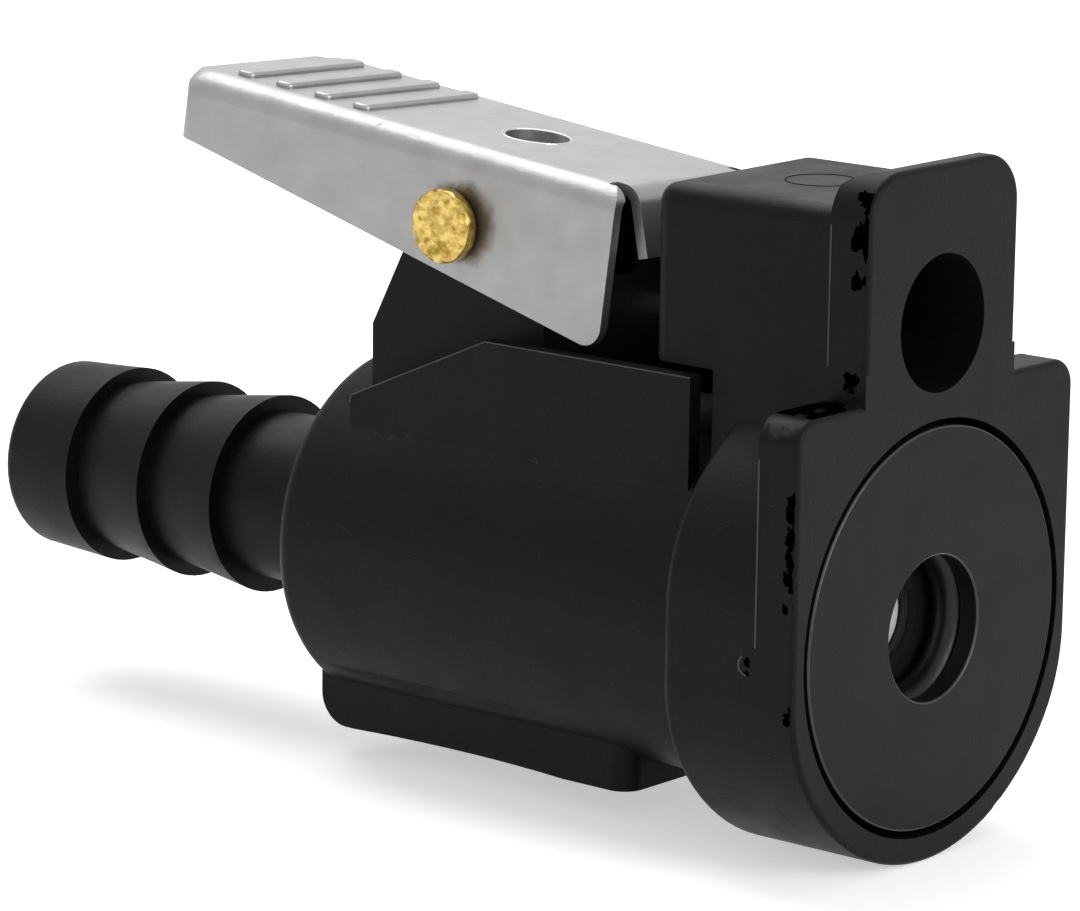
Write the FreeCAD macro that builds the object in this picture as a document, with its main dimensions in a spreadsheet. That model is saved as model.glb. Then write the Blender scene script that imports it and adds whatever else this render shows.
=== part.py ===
import FreeCAD, Part
import math
import os
import Sketcher

# Female quick connector for an outboard fuel line, with a hose barb at the back.
# Frame: X across the connector, Y from the mating face back to the hose barb, Z up.
# The origin is the centre of the fuel socket on the mating face. Millimetres.

# Driving sizes: name, value, what it measures.
SIZES = [
    ("plate_width", 23.7, "width of the flat mating plate"),
    ("plate_top", 12.6, "height of the plate's shoulders above the socket axis"),
    ("plate_corner", 1.5, "radius of the plate's shoulders"),
    ("plate_thick", 2.5, "thickness of the plate and the ear"),
    ("ear_width", 12.8, "width of the ear and of the block behind it"),
    ("ear_top", 24.2, "height of the ear above the socket axis"),
    ("ear_corner", 2.6, "radius of the ear's top corners"),
    ("ear_back", 23.5, "height of the ear at its back face"),
    ("front_round", 0.3, "rounding of the mating face's outer edge"),
    ("pin_rise", 16.0, "locating pin axis above the fuel socket axis"),
    ("pin_bore", 7.2, "diameter of the locating pin's bore"),
    ("pin_wall", 1.5, "wall of the sleeve around the locating pin's bore"),
    ("collar_swell", 0.55, "how far the collar's round part stands out past the plate's flats"),
    ("collar_blend", 9.0, "radius that blends the collar into the flats"),
    ("collar_depth", 8.5, "depth of the collar from the mating face"),
    ("collar_round", 0.6, "rounding of the collar's back edge"),
    ("barrel_dia", 19.8, "diameter of the barrel"),
    ("barrel_end", 37.2, "back face of the barrel"),
    ("barrel_round", 1.0, "rounding of the barrel's back edge"),
    ("stem_dia", 9.5, "diameter of the hose stem"),
    ("root_dia", 9.7, "diameter at the foot of each barb ridge"),
    ("crest_dia", 11.3, "diameter at the crest of each barb ridge"),
    ("ridge_start", 46.0, "step of the ridge nearest the barrel"),
    ("ridge_pitch", 5.65, "distance from one ridge to the next"),
    ("ridge_count", 3, "number of barb ridges"),
    ("tip_end", 62.7, "back end of the barb"),
    ("tip_dia", 10.8, "diameter of the barb at its tip"),
    ("tip_round", 0.7, "rounding of the barb's tip"),
    ("hose_bore", 6.2, "passage through the barb"),
    ("chamber_dia", 15.2, "valve chamber"),
    ("chamber_end", 24.0, "back of the valve chamber"),
    ("spring_pocket", 2.2, "depth of the spring's pocket behind the chamber"),
    ("rib_thick", 1.3, "thickness of the ball's guide ribs"),
    ("ball_guide", 0.3, "play of the ball between its guide ribs"),
    ("ring_wall", 0.8, "wall of the front cap outside its O-ring's groove"),
    ("cap_gap", 0.4, "groove around the front cap"),
    ("cap_thick", 3.2, "thickness of the front cap's flange"),
    ("cap_end", 9.2, "back end of the front cap's spigot"),
    ("spigot_play", 0.05, "fit of the spigot in the chamber"),
    ("socket_dia", 7.7, "mouth of the fuel socket"),
    ("socket_lip", 1.15, "depth of the socket's lip in front of its O-ring"),
    ("nipple_wire", 2.0, "section of the O-ring that seals on the fuel nipple"),
    ("gland_dia", 10.8, "gland behind the socket's lip"),
    ("cap_wire", 1.2, "section of the O-ring under the cap's flange"),
    ("cap_ring", 18.4, "middle diameter of the O-ring under the flange"),
    ("ball_dia", 7.94, "diameter of the check ball"),
    ("seat_wire", 1.0, "section of the O-ring that the ball closes on"),
    ("seat_ring", 6.4, "middle diameter of the O-ring that the ball closes on"),
    ("seat_end", 7.2, "back end of the valve seat"),
    ("seat_lip", 0.45, "lip in front of the ball's O-ring"),
    ("valve_wire", 0.6, "wire of the valve spring"),
    ("valve_coil", 6.6, "middle diameter of the valve spring"),
    ("valve_turns", 6.5, "turns of the valve spring"),
    ("block_end", 13.85, "back face of the pin block"),
    ("block_base", 13.15, "underside of the pin block's overhang"),
    ("block_top", 22.42, "height of the pin block"),
    ("block_edge", 1.0, "rounding of the pin block's edges"),
    ("block_heel", 0.8, "rounding of the pin block's lower back edge"),
    ("neck_end", 9.75, "back face of the neck under the pin block"),
    ("wing_width", 14.4, "width over the two wings"),
    ("wing_thick", 0.9, "thickness of a wing"),
    ("wing_front", 10.6, "front edge of the wings"),
    ("wing_bend", 24.45, "where the wings start to slope down"),
    ("wing_back", 34.0, "back edge of the wings"),
    ("wing_top", 12.75, "top of the wings"),
    ("wing_low", 8.5, "top of the wings' back edge"),
    ("wing_foot", 6.0, "foot of the wings inside the barrel's wall"),
    ("post_width", 9.9, "width of the pivot post"),
    ("post_front", 22.6, "front face of the pivot post"),
    ("post_back", 34.4, "back face of the pivot post"),
    ("post_lean", 27.0, "lean of the post's back slope, degrees"),
    ("post_foot", 7.0, "foot of the post inside the barrel's wall"),
    ("slot_width", 5.2, "slot between the post's cheeks"),
    ("slot_floor", 15.5, "floor of the slot between the cheeks"),
    ("stop_gap", 0.3, "gap between the lever and the post's top at rest"),
    ("hinge_back", 27.6, "hinge axis behind the mating face"),
    ("hinge_rise", 18.5, "hinge axis above the socket axis"),
    ("keel_width", 11.6, "width of the keel"),
    ("keel_front", 15.4, "front face of the keel"),
    ("keel_base", 10.6, "underside of the keel below the socket axis"),
    ("keel_round", 1.8, "rounding of the keel's back lower corner"),
    ("keel_corner", 1.2, "rounding of the keel's two upright front edges"),
    ("scoop_length", 15.0, "length of the scoops in the keel's lower edges"),
    ("scoop_height", 1.4, "height of those scoops"),
    ("scoop_depth", 0.5, "depth of those scoops across the keel"),
    ("lever_tilt", 6.0, "slope of the lever at rest, degrees"),
    ("lever_roll", 2.0, "sideways lean of the pressing on its rivet, degrees"),
    ("lever_thick", 0.6, "sheet of the lever"),
    ("lever_rise", 4.05, "top of the lever above the hinge axis"),
    ("lever_bend", 1.3, "outer bend radius of the lever's sheet"),
    ("nose_reach", 10.68, "front edge of the lever's flanges, from the hinge"),
    ("nose_width", 12.45, "width of the lever at its nose"),
    ("nose_drop", 4.7, "foot of the flanges below the hinge at the nose"),
    ("tail_reach", 20.45, "finger end of the lever, from the hinge"),
    ("tail_width", 13.1, "width of the lever at its finger end"),
    ("tail_rise", 0.4, "foot of the flanges above the hinge at the finger end"),
    ("flange_round", 1.1, "rounding of the flanges' corners"),
    ("tail_round", 1.3, "rounding of the finger end's corners, seen from above"),
    ("tongue_width", 9.2, "width of the latch tongue"),
    ("tongue_start", 9.9, "where the tongue's bend starts, from the hinge"),
    ("tongue_bend", 1.2, "outer bend radius of the tongue"),
    ("tongue_turn", 71.4, "turn of the tongue's bend, degrees"),
    ("tongue_length", 2.85, "straight part of the tongue"),
    ("relief_side", 0.7, "width of the relief notches beside the tongue"),
    ("relief_depth", 1.3, "depth of the relief notches"),
    ("fork_dia", 5.4, "notch in the tongue for the locating pin's neck"),
    ("grip_count", 4, "number of grip ribs"),
    ("grip_space", 1.7, "flat sheet between two grip ribs"),
    ("grip_first", 17.3, "grip rib nearest the finger end, from the hinge"),
    ("grip_length", 9.6, "length of a grip rib"),
    ("grip_width", 1.15, "width of a grip rib"),
    ("grip_height", 0.3, "height of a grip rib"),
    ("grip_corner", 0.4, "rounding of a grip rib's ends, seen from above"),
    ("grip_round", 0.2, "rounding of a grip rib's top edge"),
    ("grip_wall", 0.25, "wall between a grip rib's side and its groove underneath"),
    ("top_hole", 3.5, "round hole in the lever's top above the hinge"),
    ("rivet_dia", 2.6, "shank of the pivot rivet"),
    ("rivet_head", 4.0, "heads of the pivot rivet"),
    ("rivet_head_thick", 0.9, "thickness of the heads"),
    ("rivet_play", 0.05, "running fit of the lever on the rivet"),
    ("head_gap", 0.2, "gap between the lever and the rivet's heads"),
    ("lever_wire", 0.8, "wire of the lever's torsion spring"),
    ("lever_coil", 4.6, "middle diameter of the torsion spring"),
    ("coil_gap", 0.3, "gap between the turns of the torsion spring"),
    ("lever_turns", 3.4667, "turns of the torsion spring"),
    ("leg_lift", 8.2, "slope of the spring's upper leg, degrees"),
    ("upper_leg", 9.0, "length of the spring's upper leg"),
    ("lower_leg", 4.6, "length of the spring's lower leg"),
]

doc = FreeCAD.newDocument("fuel_connector")
sheet = doc.addObject("Spreadsheet::Sheet", "Sizes")
for row, (name, value, meaning) in enumerate(SIZES, start=1):
    sheet.set("A%d" % row, name)
    sheet.set("B%d" % row, str(value))
    sheet.set("C%d" % row, meaning)
    sheet.setAlias("B%d" % row, name)
doc.recompute()


class Size:
    """A size as a number, and as the formula in the sheet's names that binds an object to it."""

    def __init__(self, number, formula):
        self.number = float(number)
        self.formula = formula

    def __add__(self, other):
        other = plain(other)
        return Size(self.number + other.number, "(%s + %s)" % (self.formula, other.formula))

    def __sub__(self, other):
        other = plain(other)
        return Size(self.number - other.number, "(%s - %s)" % (self.formula, other.formula))

    def __mul__(self, other):
        other = plain(other)
        return Size(self.number * other.number, "(%s * %s)" % (self.formula, other.formula))

    def __truediv__(self, other):
        other = plain(other)
        return Size(self.number / other.number, "(%s / %s)" % (self.formula, other.formula))

    def __neg__(self):
        return Size(-self.number, "(0 - %s)" % self.formula)


def plain(value):
    return value if isinstance(value, Size) else Size(value, repr(value))


def root(value):
    return Size(math.sqrt(value.number), "sqrt(%s)" % value.formula)


def sine(value):
    return Size(math.sin(math.radians(value.number)), "sin(%s)" % value.formula)


def cosine(value):
    return Size(math.cos(math.radians(value.number)), "cos(%s)" % value.formula)


S = {name: Size(value, "Sizes." + name) for name, value, meaning in SIZES}
OVERSHOOT = Size(1.0, "1")
PARTS = []


def part_body(label):
    body = doc.addObject("PartDesign::Body", "Body_" + label)
    body.Label = label
    PARTS.append(body)
    return body


def bind(item, field, size):
    item.setExpression(field, size.formula)


def place(item, x=0, y=0, z=0):
    """Bind the position of a sub-part to the sheet."""
    for axis, value in zip("xyz", (x, y, z)):
        bind(item, "Placement.Base." + axis, plain(value))


def blank_sketch(body, name, plane, offset=None):
    """A sketch on one of the body's own origin planes, shifted along that plane's normal."""
    sketch = body.newObject("Sketcher::SketchObject", name)
    origin_plane = [item for item in body.Origin.OriginFeatures if item.Role == plane][0]
    sketch.AttachmentSupport = [(origin_plane, "")]
    sketch.MapMode = "FlatFace"
    if offset is not None:
        bind(sketch, "AttachmentOffset.Base.z", offset)
    return sketch


def tie(sketch, geometry, point, x, y):
    """Fix one point of a sketch at x, y from the origin, by the sheet's sizes."""
    for kind, value, axis in (("DistanceX", x, -2), ("DistanceY", y, -1)):
        if value.formula in ("0", "0.0"):
            sketch.addConstraint(Sketcher.Constraint("PointOnObject", geometry, point, axis))
            continue
        index = sketch.addConstraint(Sketcher.Constraint(kind, -1, 1, geometry, point, value.number))
        bind(sketch, "Constraints[%d]" % index, value)


def draw_outline(sketch, corners):
    """A closed outline. A corner is (x, y), and its edge to the next corner is straight, or
    (x, y, radius) with an arc to the next corner, anticlockwise where the radius is positive."""
    corners = [tuple(plain(value) for value in corner) for corner in corners]
    ends = []
    for index, corner in enumerate(corners):
        following = corners[(index + 1) % len(corners)]
        start = FreeCAD.Vector(corner[0].number, corner[1].number, 0)
        stop = FreeCAD.Vector(following[0].number, following[1].number, 0)
        if len(corner) == 2:
            geometry = sketch.addGeometry(Part.LineSegment(start, stop), False)
            ends.append((geometry, 1, 2))
            continue
        turn = math.copysign(1, corner[2].number)
        radius = abs(corner[2].number)
        middle = (start + stop) * 0.5
        half = (stop - start).Length / 2
        side = FreeCAD.Vector(-(stop - start).y, (stop - start).x, 0).normalize()
        centre = middle + side * turn * math.sqrt(max(radius * radius - half * half, 0))
        first, last = (start, stop) if turn > 0 else (stop, start)
        angles = [math.atan2((point - centre).y, (point - centre).x) for point in (first, last)]
        circle = Part.Circle(centre, FreeCAD.Vector(0, 0, 1), radius)
        geometry = sketch.addGeometry(Part.ArcOfCircle(circle, angles[0], angles[1]), False)
        ends.append((geometry, 1, 2) if turn > 0 else (geometry, 2, 1))
    for index, (geometry, start_point, stop_point) in enumerate(ends):
        following = ends[(index + 1) % len(ends)]
        sketch.addConstraint(Sketcher.Constraint(
            "Coincident", geometry, stop_point, following[0], following[1]))
        tie(sketch, geometry, start_point, corners[index][0], corners[index][1])
        if len(corners[index]) == 3:
            radius = corners[index][2]
            radius = radius if radius.number > 0 else -radius
            number = sketch.addConstraint(Sketcher.Constraint("Radius", geometry, radius.number))
            bind(sketch, "Constraints[%d]" % number, radius)


def draw_circle(sketch, x, y, radius):
    centre = FreeCAD.Vector(plain(x).number, plain(y).number, 0)
    circle = Part.Circle(centre, FreeCAD.Vector(0, 0, 1), radius.number)
    geometry = sketch.addGeometry(circle, False)
    tie(sketch, geometry, 3, plain(x), plain(y))
    number = sketch.addConstraint(Sketcher.Constraint("Radius", geometry, radius.number))
    bind(sketch, "Constraints[%d]" % number, radius)


def rectangle(left, bottom, right, top):
    return [(left, bottom), (right, bottom), (right, top), (left, top)]


def sweep_feature(kind, body, name, sketch, length, reverse=False, both=False):
    """A Pad or a Pocket of a sketch."""
    feature = body.newObject("PartDesign::" + kind, name)
    feature.Profile = sketch
    feature.SideType = "Symmetric" if both else "One side"
    feature.Reversed = reverse
    bind(feature, "Length", length)
    doc.recompute()
    return feature


def pad(body, name, sketch, length, reverse=False, both=False):
    return sweep_feature("Pad", body, name, sketch, length, reverse, both)


def cut(body, name, sketch, length, reverse=False, both=False):
    before = body.Shape.Volume
    feature = sweep_feature("Pocket", body, name, sketch, length, reverse, both)
    if body.Shape.Volume > before - 0.01:
        raise RuntimeError("%s removes nothing from %s" % (name, body.Label))
    return feature


def turned(body, name, outline, kind="Revolution"):
    """A full turn of an outline of (distance along the axis, radius) about the body's Y axis."""
    before = body.Shape.Volume if kind == "Groove" else 0
    sketch = blank_sketch(body, name + "_outline", "YZ_Plane")
    draw_outline(sketch, outline)
    feature = body.newObject("PartDesign::" + kind, name)
    feature.Profile = sketch
    feature.ReferenceAxis = (sketch, ["H_Axis"])
    feature.Angle = 360
    doc.recompute()
    if kind == "Groove" and body.Shape.Volume > before - 0.01:
        raise RuntimeError("%s removes nothing from %s" % (name, body.Label))
    return feature


def mirrored(body, name, features, plane):
    feature = body.newObject("PartDesign::Mirrored", name)
    feature.Originals = features
    origin_plane = [item for item in body.Origin.OriginFeatures if item.Role == plane][0]
    feature.MirrorPlane = (origin_plane, [""])
    body.Tip = feature
    doc.recompute()
    return feature


def rounded(body, name, radius, wanted):
    """Round those edges of the body's tip whose middle point and bounding box pass a test."""
    tip = body.Tip
    names = []
    for index, edge in enumerate(tip.Shape.Edges, start=1):
        middle = edge.valueAt((edge.FirstParameter + edge.LastParameter) / 2)
        if wanted(middle, edge.BoundBox):
            names.append("Edge%d" % index)
    if not names:
        raise RuntimeError("no edge found for %s" % name)
    feature = body.newObject("PartDesign::Fillet", name)
    feature.Base = (tip, names)
    bind(feature, "Radius", radius)
    doc.recompute()
    return feature


def near(value, size):
    return abs(value - size.number) < 0.01


HALF_PLATE = S["plate_width"] / 2
HALF_EAR = S["ear_width"] / 2
COLLAR_R = HALF_PLATE + S["collar_swell"]
BARREL_R = S["barrel_dia"] / 2
CHAMBER_R = S["chamber_dia"] / 2
CAP_R = (S["cap_ring"] + S["cap_wire"]) / 2 + S["ring_wall"]
RECESS_R = CAP_R + S["cap_gap"]
BORE_R = S["hose_bore"] / 2
PIN_R = S["pin_bore"] / 2
RIVET_R = S["rivet_dia"] / 2
POST_TOP = S["lever_rise"] - S["lever_thick"] - S["stop_gap"]
HINGE_Y = S["hinge_back"]
HINGE_Z = S["hinge_rise"]
TILT = S["lever_tilt"]
BALL_R = S["ball_dia"] / 2
COIL_PITCH = S["lever_wire"] + S["coil_gap"]

# The O-ring that the ball closes on lies behind the nipple's O-ring and the seat's lip, and the
# ball's centre follows from the two radii that touch.
SEAT_FRONT = S["socket_lip"] + S["nipple_wire"]
SEAT_RING_Y = SEAT_FRONT + S["seat_lip"] + S["seat_wire"] / 2
SEAT_REACH = BALL_R + S["seat_wire"] / 2
BALL_Y = SEAT_RING_Y + root(SEAT_REACH * SEAT_REACH - S["seat_ring"] * S["seat_ring"] / 4)


def world_of(along, above):
    """The Y and Z of a point given in the lever's own frame, along and above its hinge."""
    y = HINGE_Y + along * cosine(TILT) - above * sine(TILT)
    z = HINGE_Z + along * sine(TILT) + above * cosine(TILT)
    return y, z


def make_body():
    """The moulded body: plate with ear, collar, barrel, barb, pin block, post, wings and keel."""
    body = part_body("connector_body")

    # The collar is round with two flats. Each flat runs into the round part through a blend.
    blend = S["collar_blend"]
    flat_end = root((COLLAR_R - blend) * (COLLAR_R - blend)
                    - (HALF_PLATE - blend) * (HALF_PLATE - blend))
    round_x = (HALF_PLATE - blend) * COLLAR_R / (COLLAR_R - blend)
    round_z = flat_end * COLLAR_R / (COLLAR_R - blend)
    sketch = blank_sketch(body, "collar_outline", "XZ_Plane")
    draw_outline(sketch, [
        (HALF_PLATE, -flat_end), (HALF_PLATE, flat_end, blend), (round_x, round_z, COLLAR_R),
        (-round_x, round_z, blend), (-HALF_PLATE, flat_end), (-HALF_PLATE, -flat_end, blend),
        (-round_x, -round_z, COLLAR_R), (round_x, -round_z, blend)])
    pad(body, "collar", sketch, S["collar_depth"], reverse=True)
    rounded(body, "collar_back_edge", S["collar_round"],
            lambda middle, box: near(middle.y, S["collar_depth"]))

    # The mating plate has square shoulders and an ear with rounded corners.
    shoulder = S["plate_top"] - S["plate_corner"]
    shoulder_x = HALF_PLATE - S["plate_corner"]
    ear_side = S["ear_top"] - S["ear_corner"]
    ear_x = HALF_EAR - S["ear_corner"]
    sketch = blank_sketch(body, "plate_outline", "XZ_Plane")
    draw_outline(sketch, [
        (-HALF_PLATE, -flat_end, blend), (-round_x, -round_z, COLLAR_R),
        (round_x, -round_z, blend), (HALF_PLATE, -flat_end),
        (HALF_PLATE, shoulder, S["plate_corner"]), (shoulder_x, S["plate_top"]),
        (HALF_EAR, S["plate_top"]), (HALF_EAR, ear_side, S["ear_corner"]),
        (ear_x, S["ear_top"]), (-ear_x, S["ear_top"], S["ear_corner"]),
        (-HALF_EAR, ear_side), (-HALF_EAR, S["plate_top"]),
        (-shoulder_x, S["plate_top"], S["plate_corner"]), (-HALF_PLATE, shoulder)])
    pad(body, "mating_plate", sketch, S["plate_thick"], reverse=True)
    rounded(body, "mating_face_edge", S["front_round"], lambda middle, box: (
        abs(middle.y) < 0.01 and box.YLength < 0.01))

    # The ear's top falls away towards its back face.
    sketch = blank_sketch(body, "ear_back_outline", "YZ_Plane")
    fall = S["ear_top"] - S["ear_back"]
    run = S["plate_thick"] - S["front_round"] * 2
    fall_r = (run * run + fall * fall) / (fall * 2)
    draw_outline(sketch, [
        (S["plate_thick"], S["ear_back"], fall_r), (S["front_round"] * 2, S["ear_top"]),
        (S["front_round"] * 2, S["ear_top"] + OVERSHOOT),
        (S["plate_thick"] + OVERSHOOT, S["ear_top"] + OVERSHOOT),
        (S["plate_thick"] + OVERSHOOT, S["ear_back"])])
    cut(body, "ear_back_slope", sketch, S["plate_width"], both=True)

    # The barrel, the hose stem and the barb ridges, whose steps face the barrel.
    barrel_edge = S["barrel_end"] - S["barrel_round"]
    outline = [
        (OVERSHOOT, 0), (OVERSHOOT, BARREL_R), (barrel_edge, BARREL_R, -S["barrel_round"]),
        (S["barrel_end"], BARREL_R - S["barrel_round"]), (S["barrel_end"], S["stem_dia"] / 2)]
    foot = S["stem_dia"] / 2
    for ridge in range(int(S["ridge_count"].number)):
        step = S["ridge_start"] + S["ridge_pitch"] * ridge
        outline += [(step, foot), (step, S["crest_dia"] / 2)]
        foot = S["root_dia"] / 2
    tip_r = S["tip_dia"] / 2
    outline += [
        (S["tip_end"] - S["tip_round"], tip_r, -S["tip_round"]),
        (S["tip_end"], tip_r - S["tip_round"]), (S["tip_end"], 0)]
    turned(body, "barrel_and_barb", outline)

    # The block behind the ear holds the locating pin, and overhangs the barrel behind a neck.
    edge = S["block_edge"]
    sketch = blank_sketch(body, "block_outline", "XZ_Plane", -S["plate_thick"])
    draw_outline(sketch, [
        (-HALF_EAR, S["block_base"]), (HALF_EAR, S["block_base"]),
        (HALF_EAR, S["block_top"] - edge, edge), (HALF_EAR - edge, S["block_top"]),
        (edge - HALF_EAR, S["block_top"], edge), (-HALF_EAR, S["block_top"] - edge)])
    pad(body, "pin_block", sketch, S["block_end"] - S["plate_thick"], reverse=True)
    rounded(body, "block_back_edges", edge, lambda middle, box: (
        near(middle.y, S["block_end"]) and middle.z > S["block_base"].number + 0.1))
    heel = S["block_heel"]
    sketch = blank_sketch(body, "block_heel_outline", "YZ_Plane")
    draw_outline(sketch, [
        (S["block_end"] - heel, S["block_base"], heel), (S["block_end"], S["block_base"] + heel),
        (S["block_end"] + OVERSHOOT, S["block_base"] + heel),
        (S["block_end"] + OVERSHOOT, S["block_base"] - heel),
        (S["block_end"] - heel, S["block_base"] - heel)])
    cut(body, "block_heel", sketch, S["plate_width"], both=True)

    sketch = blank_sketch(body, "neck_outline", "XZ_Plane")
    draw_outline(sketch, rectangle(-HALF_EAR, 0, HALF_EAR, S["block_base"] + OVERSHOOT))
    pad(body, "neck", sketch, S["neck_end"], reverse=True)
    sketch = blank_sketch(body, "pin_sleeve_outline", "XZ_Plane")
    draw_circle(sketch, 0, S["pin_rise"], PIN_R + S["pin_wall"])
    pad(body, "pin_sleeve", sketch, S["block_end"], reverse=True)

    # Two thin wings guard the lower edges of the lever's flanges.
    sketch = blank_sketch(body, "wing_outline", "YZ_Plane", S["wing_width"] / 2)
    draw_outline(sketch, [
        (S["wing_front"], S["wing_foot"]), (S["wing_back"], S["wing_foot"]),
        (S["wing_back"], S["wing_low"]), (S["wing_bend"], S["wing_top"]),
        (S["wing_front"], S["wing_top"])])
    wing = pad(body, "wing", sketch, S["wing_thick"], reverse=True)
    mirrored(body, "other_wing", [wing], "YZ_Plane")

    # The pivot post: its top follows the lever, and its back slope is tangent to the rounding.
    front_y, front_z = world_of(-(HINGE_Y - S["post_front"]) , POST_TOP)
    peak_y, peak_z = world_of(plain(0), POST_TOP)
    tangent_y = HINGE_Y + POST_TOP * cosine(S["post_lean"])
    tangent_z = HINGE_Z + POST_TOP * sine(S["post_lean"])
    slope = cosine(S["post_lean"]) / sine(S["post_lean"])
    knee_z = tangent_z - (S["post_back"] - tangent_y) * slope
    sketch = blank_sketch(body, "post_outline", "YZ_Plane")
    draw_outline(sketch, [
        (front_y, S["post_foot"]), (S["post_back"], S["post_foot"]), (S["post_back"], knee_z),
        (tangent_y, tangent_z, POST_TOP), (peak_y, peak_z), (front_y, front_z)])
    pad(body, "pivot_post", sketch, S["post_width"], both=True)
    sketch = blank_sketch(body, "post_slot_outline", "YZ_Plane")
    draw_outline(sketch, rectangle(
        S["post_front"] - OVERSHOOT * 2, S["slot_floor"], S["post_back"] + OVERSHOOT,
        HINGE_Z + POST_TOP + OVERSHOOT))
    cut(body, "post_slot", sketch, S["slot_width"], both=True)
    sketch = blank_sketch(body, "rivet_hole_outline", "YZ_Plane")
    draw_circle(sketch, HINGE_Y, HINGE_Z, RIVET_R + S["rivet_play"])
    cut(body, "rivet_hole", sketch, S["plate_width"], both=True)

    # The keel under the barrel, with a finger scoop along each lower edge.
    sketch = blank_sketch(body, "keel_outline", "YZ_Plane")
    draw_outline(sketch, [
        (S["keel_front"], 0), (S["keel_front"], -S["keel_base"]),
        (S["barrel_end"] - S["keel_round"], -S["keel_base"], S["keel_round"]),
        (S["barrel_end"], -(S["keel_base"] - S["keel_round"])),
        (S["barrel_end"], -(S["stem_dia"] / 2)), (S["barrel_end"] - OVERSHOOT, 0)])
    pad(body, "keel", sketch, S["keel_width"], both=True)
    rounded(body, "keel_front_edges", S["keel_corner"], lambda middle, box: (
        near(middle.y, S["keel_front"]) and near(abs(middle.x), S["keel_width"] / 2)
        and box.ZLength > box.XLength and middle.z < -S["stem_dia"].number / 2))
    high = S["scoop_height"]
    deep = S["scoop_depth"]
    slant = root(high * high + deep * deep)
    depth = high * deep / slant
    scoop_r = (S["scoop_length"] * S["scoop_length"] / 4 + depth * depth) / (depth * 2)
    reach = scoop_r - depth
    half_height = high * 3
    lean = math.degrees(math.atan2(deep.number, high.number))
    for side, name in ((-1, "left_scoop"), (1, "right_scoop")):
        scoop = body.newObject("PartDesign::SubtractiveCylinder", name)
        bind(scoop, "Radius", scoop_r)
        bind(scoop, "Height", half_height * 2)
        turn = FreeCAD.Rotation(FreeCAD.Vector(0, 1, 0), (lean - 180) * side)
        scoop.Placement = FreeCAD.Placement(FreeCAD.Vector(), turn)
        middle = (S["keel_front"] + S["barrel_end"]) / 2 + OVERSHOOT
        across = (reach * high + half_height * deep) / slant
        drop = (reach * deep - half_height * high) / slant
        place(scoop, (S["keel_width"] / 2 + across) * side, middle, -(S["keel_base"] + drop))
        doc.recompute()

    # The passages: the cap's recess, the valve chamber, the spring's pocket and the hose bore.
    pocket_r = (S["valve_coil"] + S["valve_wire"]) / 2 + S["ball_guide"]
    pocket_end = S["chamber_end"] + S["spring_pocket"]
    turned(body, "passages", [
        (-OVERSHOOT, 0), (-OVERSHOOT, RECESS_R), (S["cap_thick"], RECESS_R),
        (S["cap_thick"], CHAMBER_R), (S["chamber_end"], CHAMBER_R), (S["chamber_end"], pocket_r),
        (pocket_end, pocket_r), (pocket_end, BORE_R), (S["tip_end"] + OVERSHOOT, BORE_R),
        (S["tip_end"] + OVERSHOOT, 0)], kind="Groove")
    sketch = blank_sketch(body, "pin_bore_outline", "XZ_Plane")
    draw_circle(sketch, 0, S["pin_rise"], PIN_R)
    cut(body, "locating_pin_bore", sketch, S["block_end"] * 2.5, both=True)

    # Four ribs in the chamber guide the ball and let the fuel pass around it.
    sketch = blank_sketch(body, "guide_rib_outline", "YZ_Plane")
    draw_outline(sketch, rectangle(
        S["cap_end"] + S["ball_guide"], BALL_R + S["ball_guide"] / 2, S["chamber_end"],
        CHAMBER_R + S["ball_guide"]))
    rib = pad(body, "guide_rib", sketch, S["rib_thick"], both=True)
    ribs = body.newObject("PartDesign::PolarPattern", "guide_ribs")
    ribs.Originals = [rib]
    axis = [item for item in body.Origin.OriginFeatures if item.Role == "Y_Axis"][0]
    ribs.Axis = (axis, [""])
    ribs.Angle = 360
    ribs.Occurrences = 4
    body.Tip = ribs
    doc.recompute()
    return body


def make_front_cap():
    """The turned disc that closes the front, with the fuel socket through its middle."""
    body = part_body("front_cap")
    spigot_r = CHAMBER_R - S["spigot_play"]
    groove_in = (S["cap_ring"] - S["cap_wire"]) / 2
    groove_out = (S["cap_ring"] + S["cap_wire"]) / 2
    gland_r = S["gland_dia"] / 2
    turned(body, "cap", [
        (0, S["socket_dia"] / 2), (0, CAP_R), (S["cap_thick"], CAP_R),
        (S["cap_thick"], groove_out), (S["cap_thick"] - S["cap_wire"], groove_out),
        (S["cap_thick"] - S["cap_wire"], groove_in), (S["cap_thick"], groove_in),
        (S["cap_thick"], spigot_r), (S["cap_end"], spigot_r), (S["cap_end"], gland_r),
        (S["socket_lip"], gland_r), (S["socket_lip"], S["socket_dia"] / 2)])
    return body


def make_ring(label, middle_dia, wire, y):
    """A rubber O-ring around the socket axis."""
    ring = doc.addObject("Part::Torus", "Ring_" + label)
    ring.Label = label
    bind(ring, "Radius1", middle_dia / 2)
    bind(ring, "Radius2", wire / 2)
    ring.Placement = FreeCAD.Placement(
        FreeCAD.Vector(), FreeCAD.Rotation(FreeCAD.Vector(1, 0, 0), 90))
    place(ring, 0, y, 0)
    PARTS.append(ring)
    return ring


def make_valve_seat():
    """The moulded insert that keeps the nipple's O-ring in and carries the ball's O-ring."""
    body = part_body("valve_seat")
    inner = (S["seat_ring"] - S["seat_wire"]) / 2
    outer = (S["seat_ring"] + S["seat_wire"]) / 2
    groove_y = SEAT_FRONT + S["seat_lip"]
    gland_r = S["gland_dia"] / 2
    turned(body, "seat", [
        (SEAT_FRONT, inner), (SEAT_FRONT, gland_r), (S["seat_end"], gland_r),
        (S["seat_end"], BALL_R + S["ball_guide"]), (groove_y + S["seat_wire"], outer),
        (groove_y, outer), (groove_y, inner)])
    return body


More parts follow.
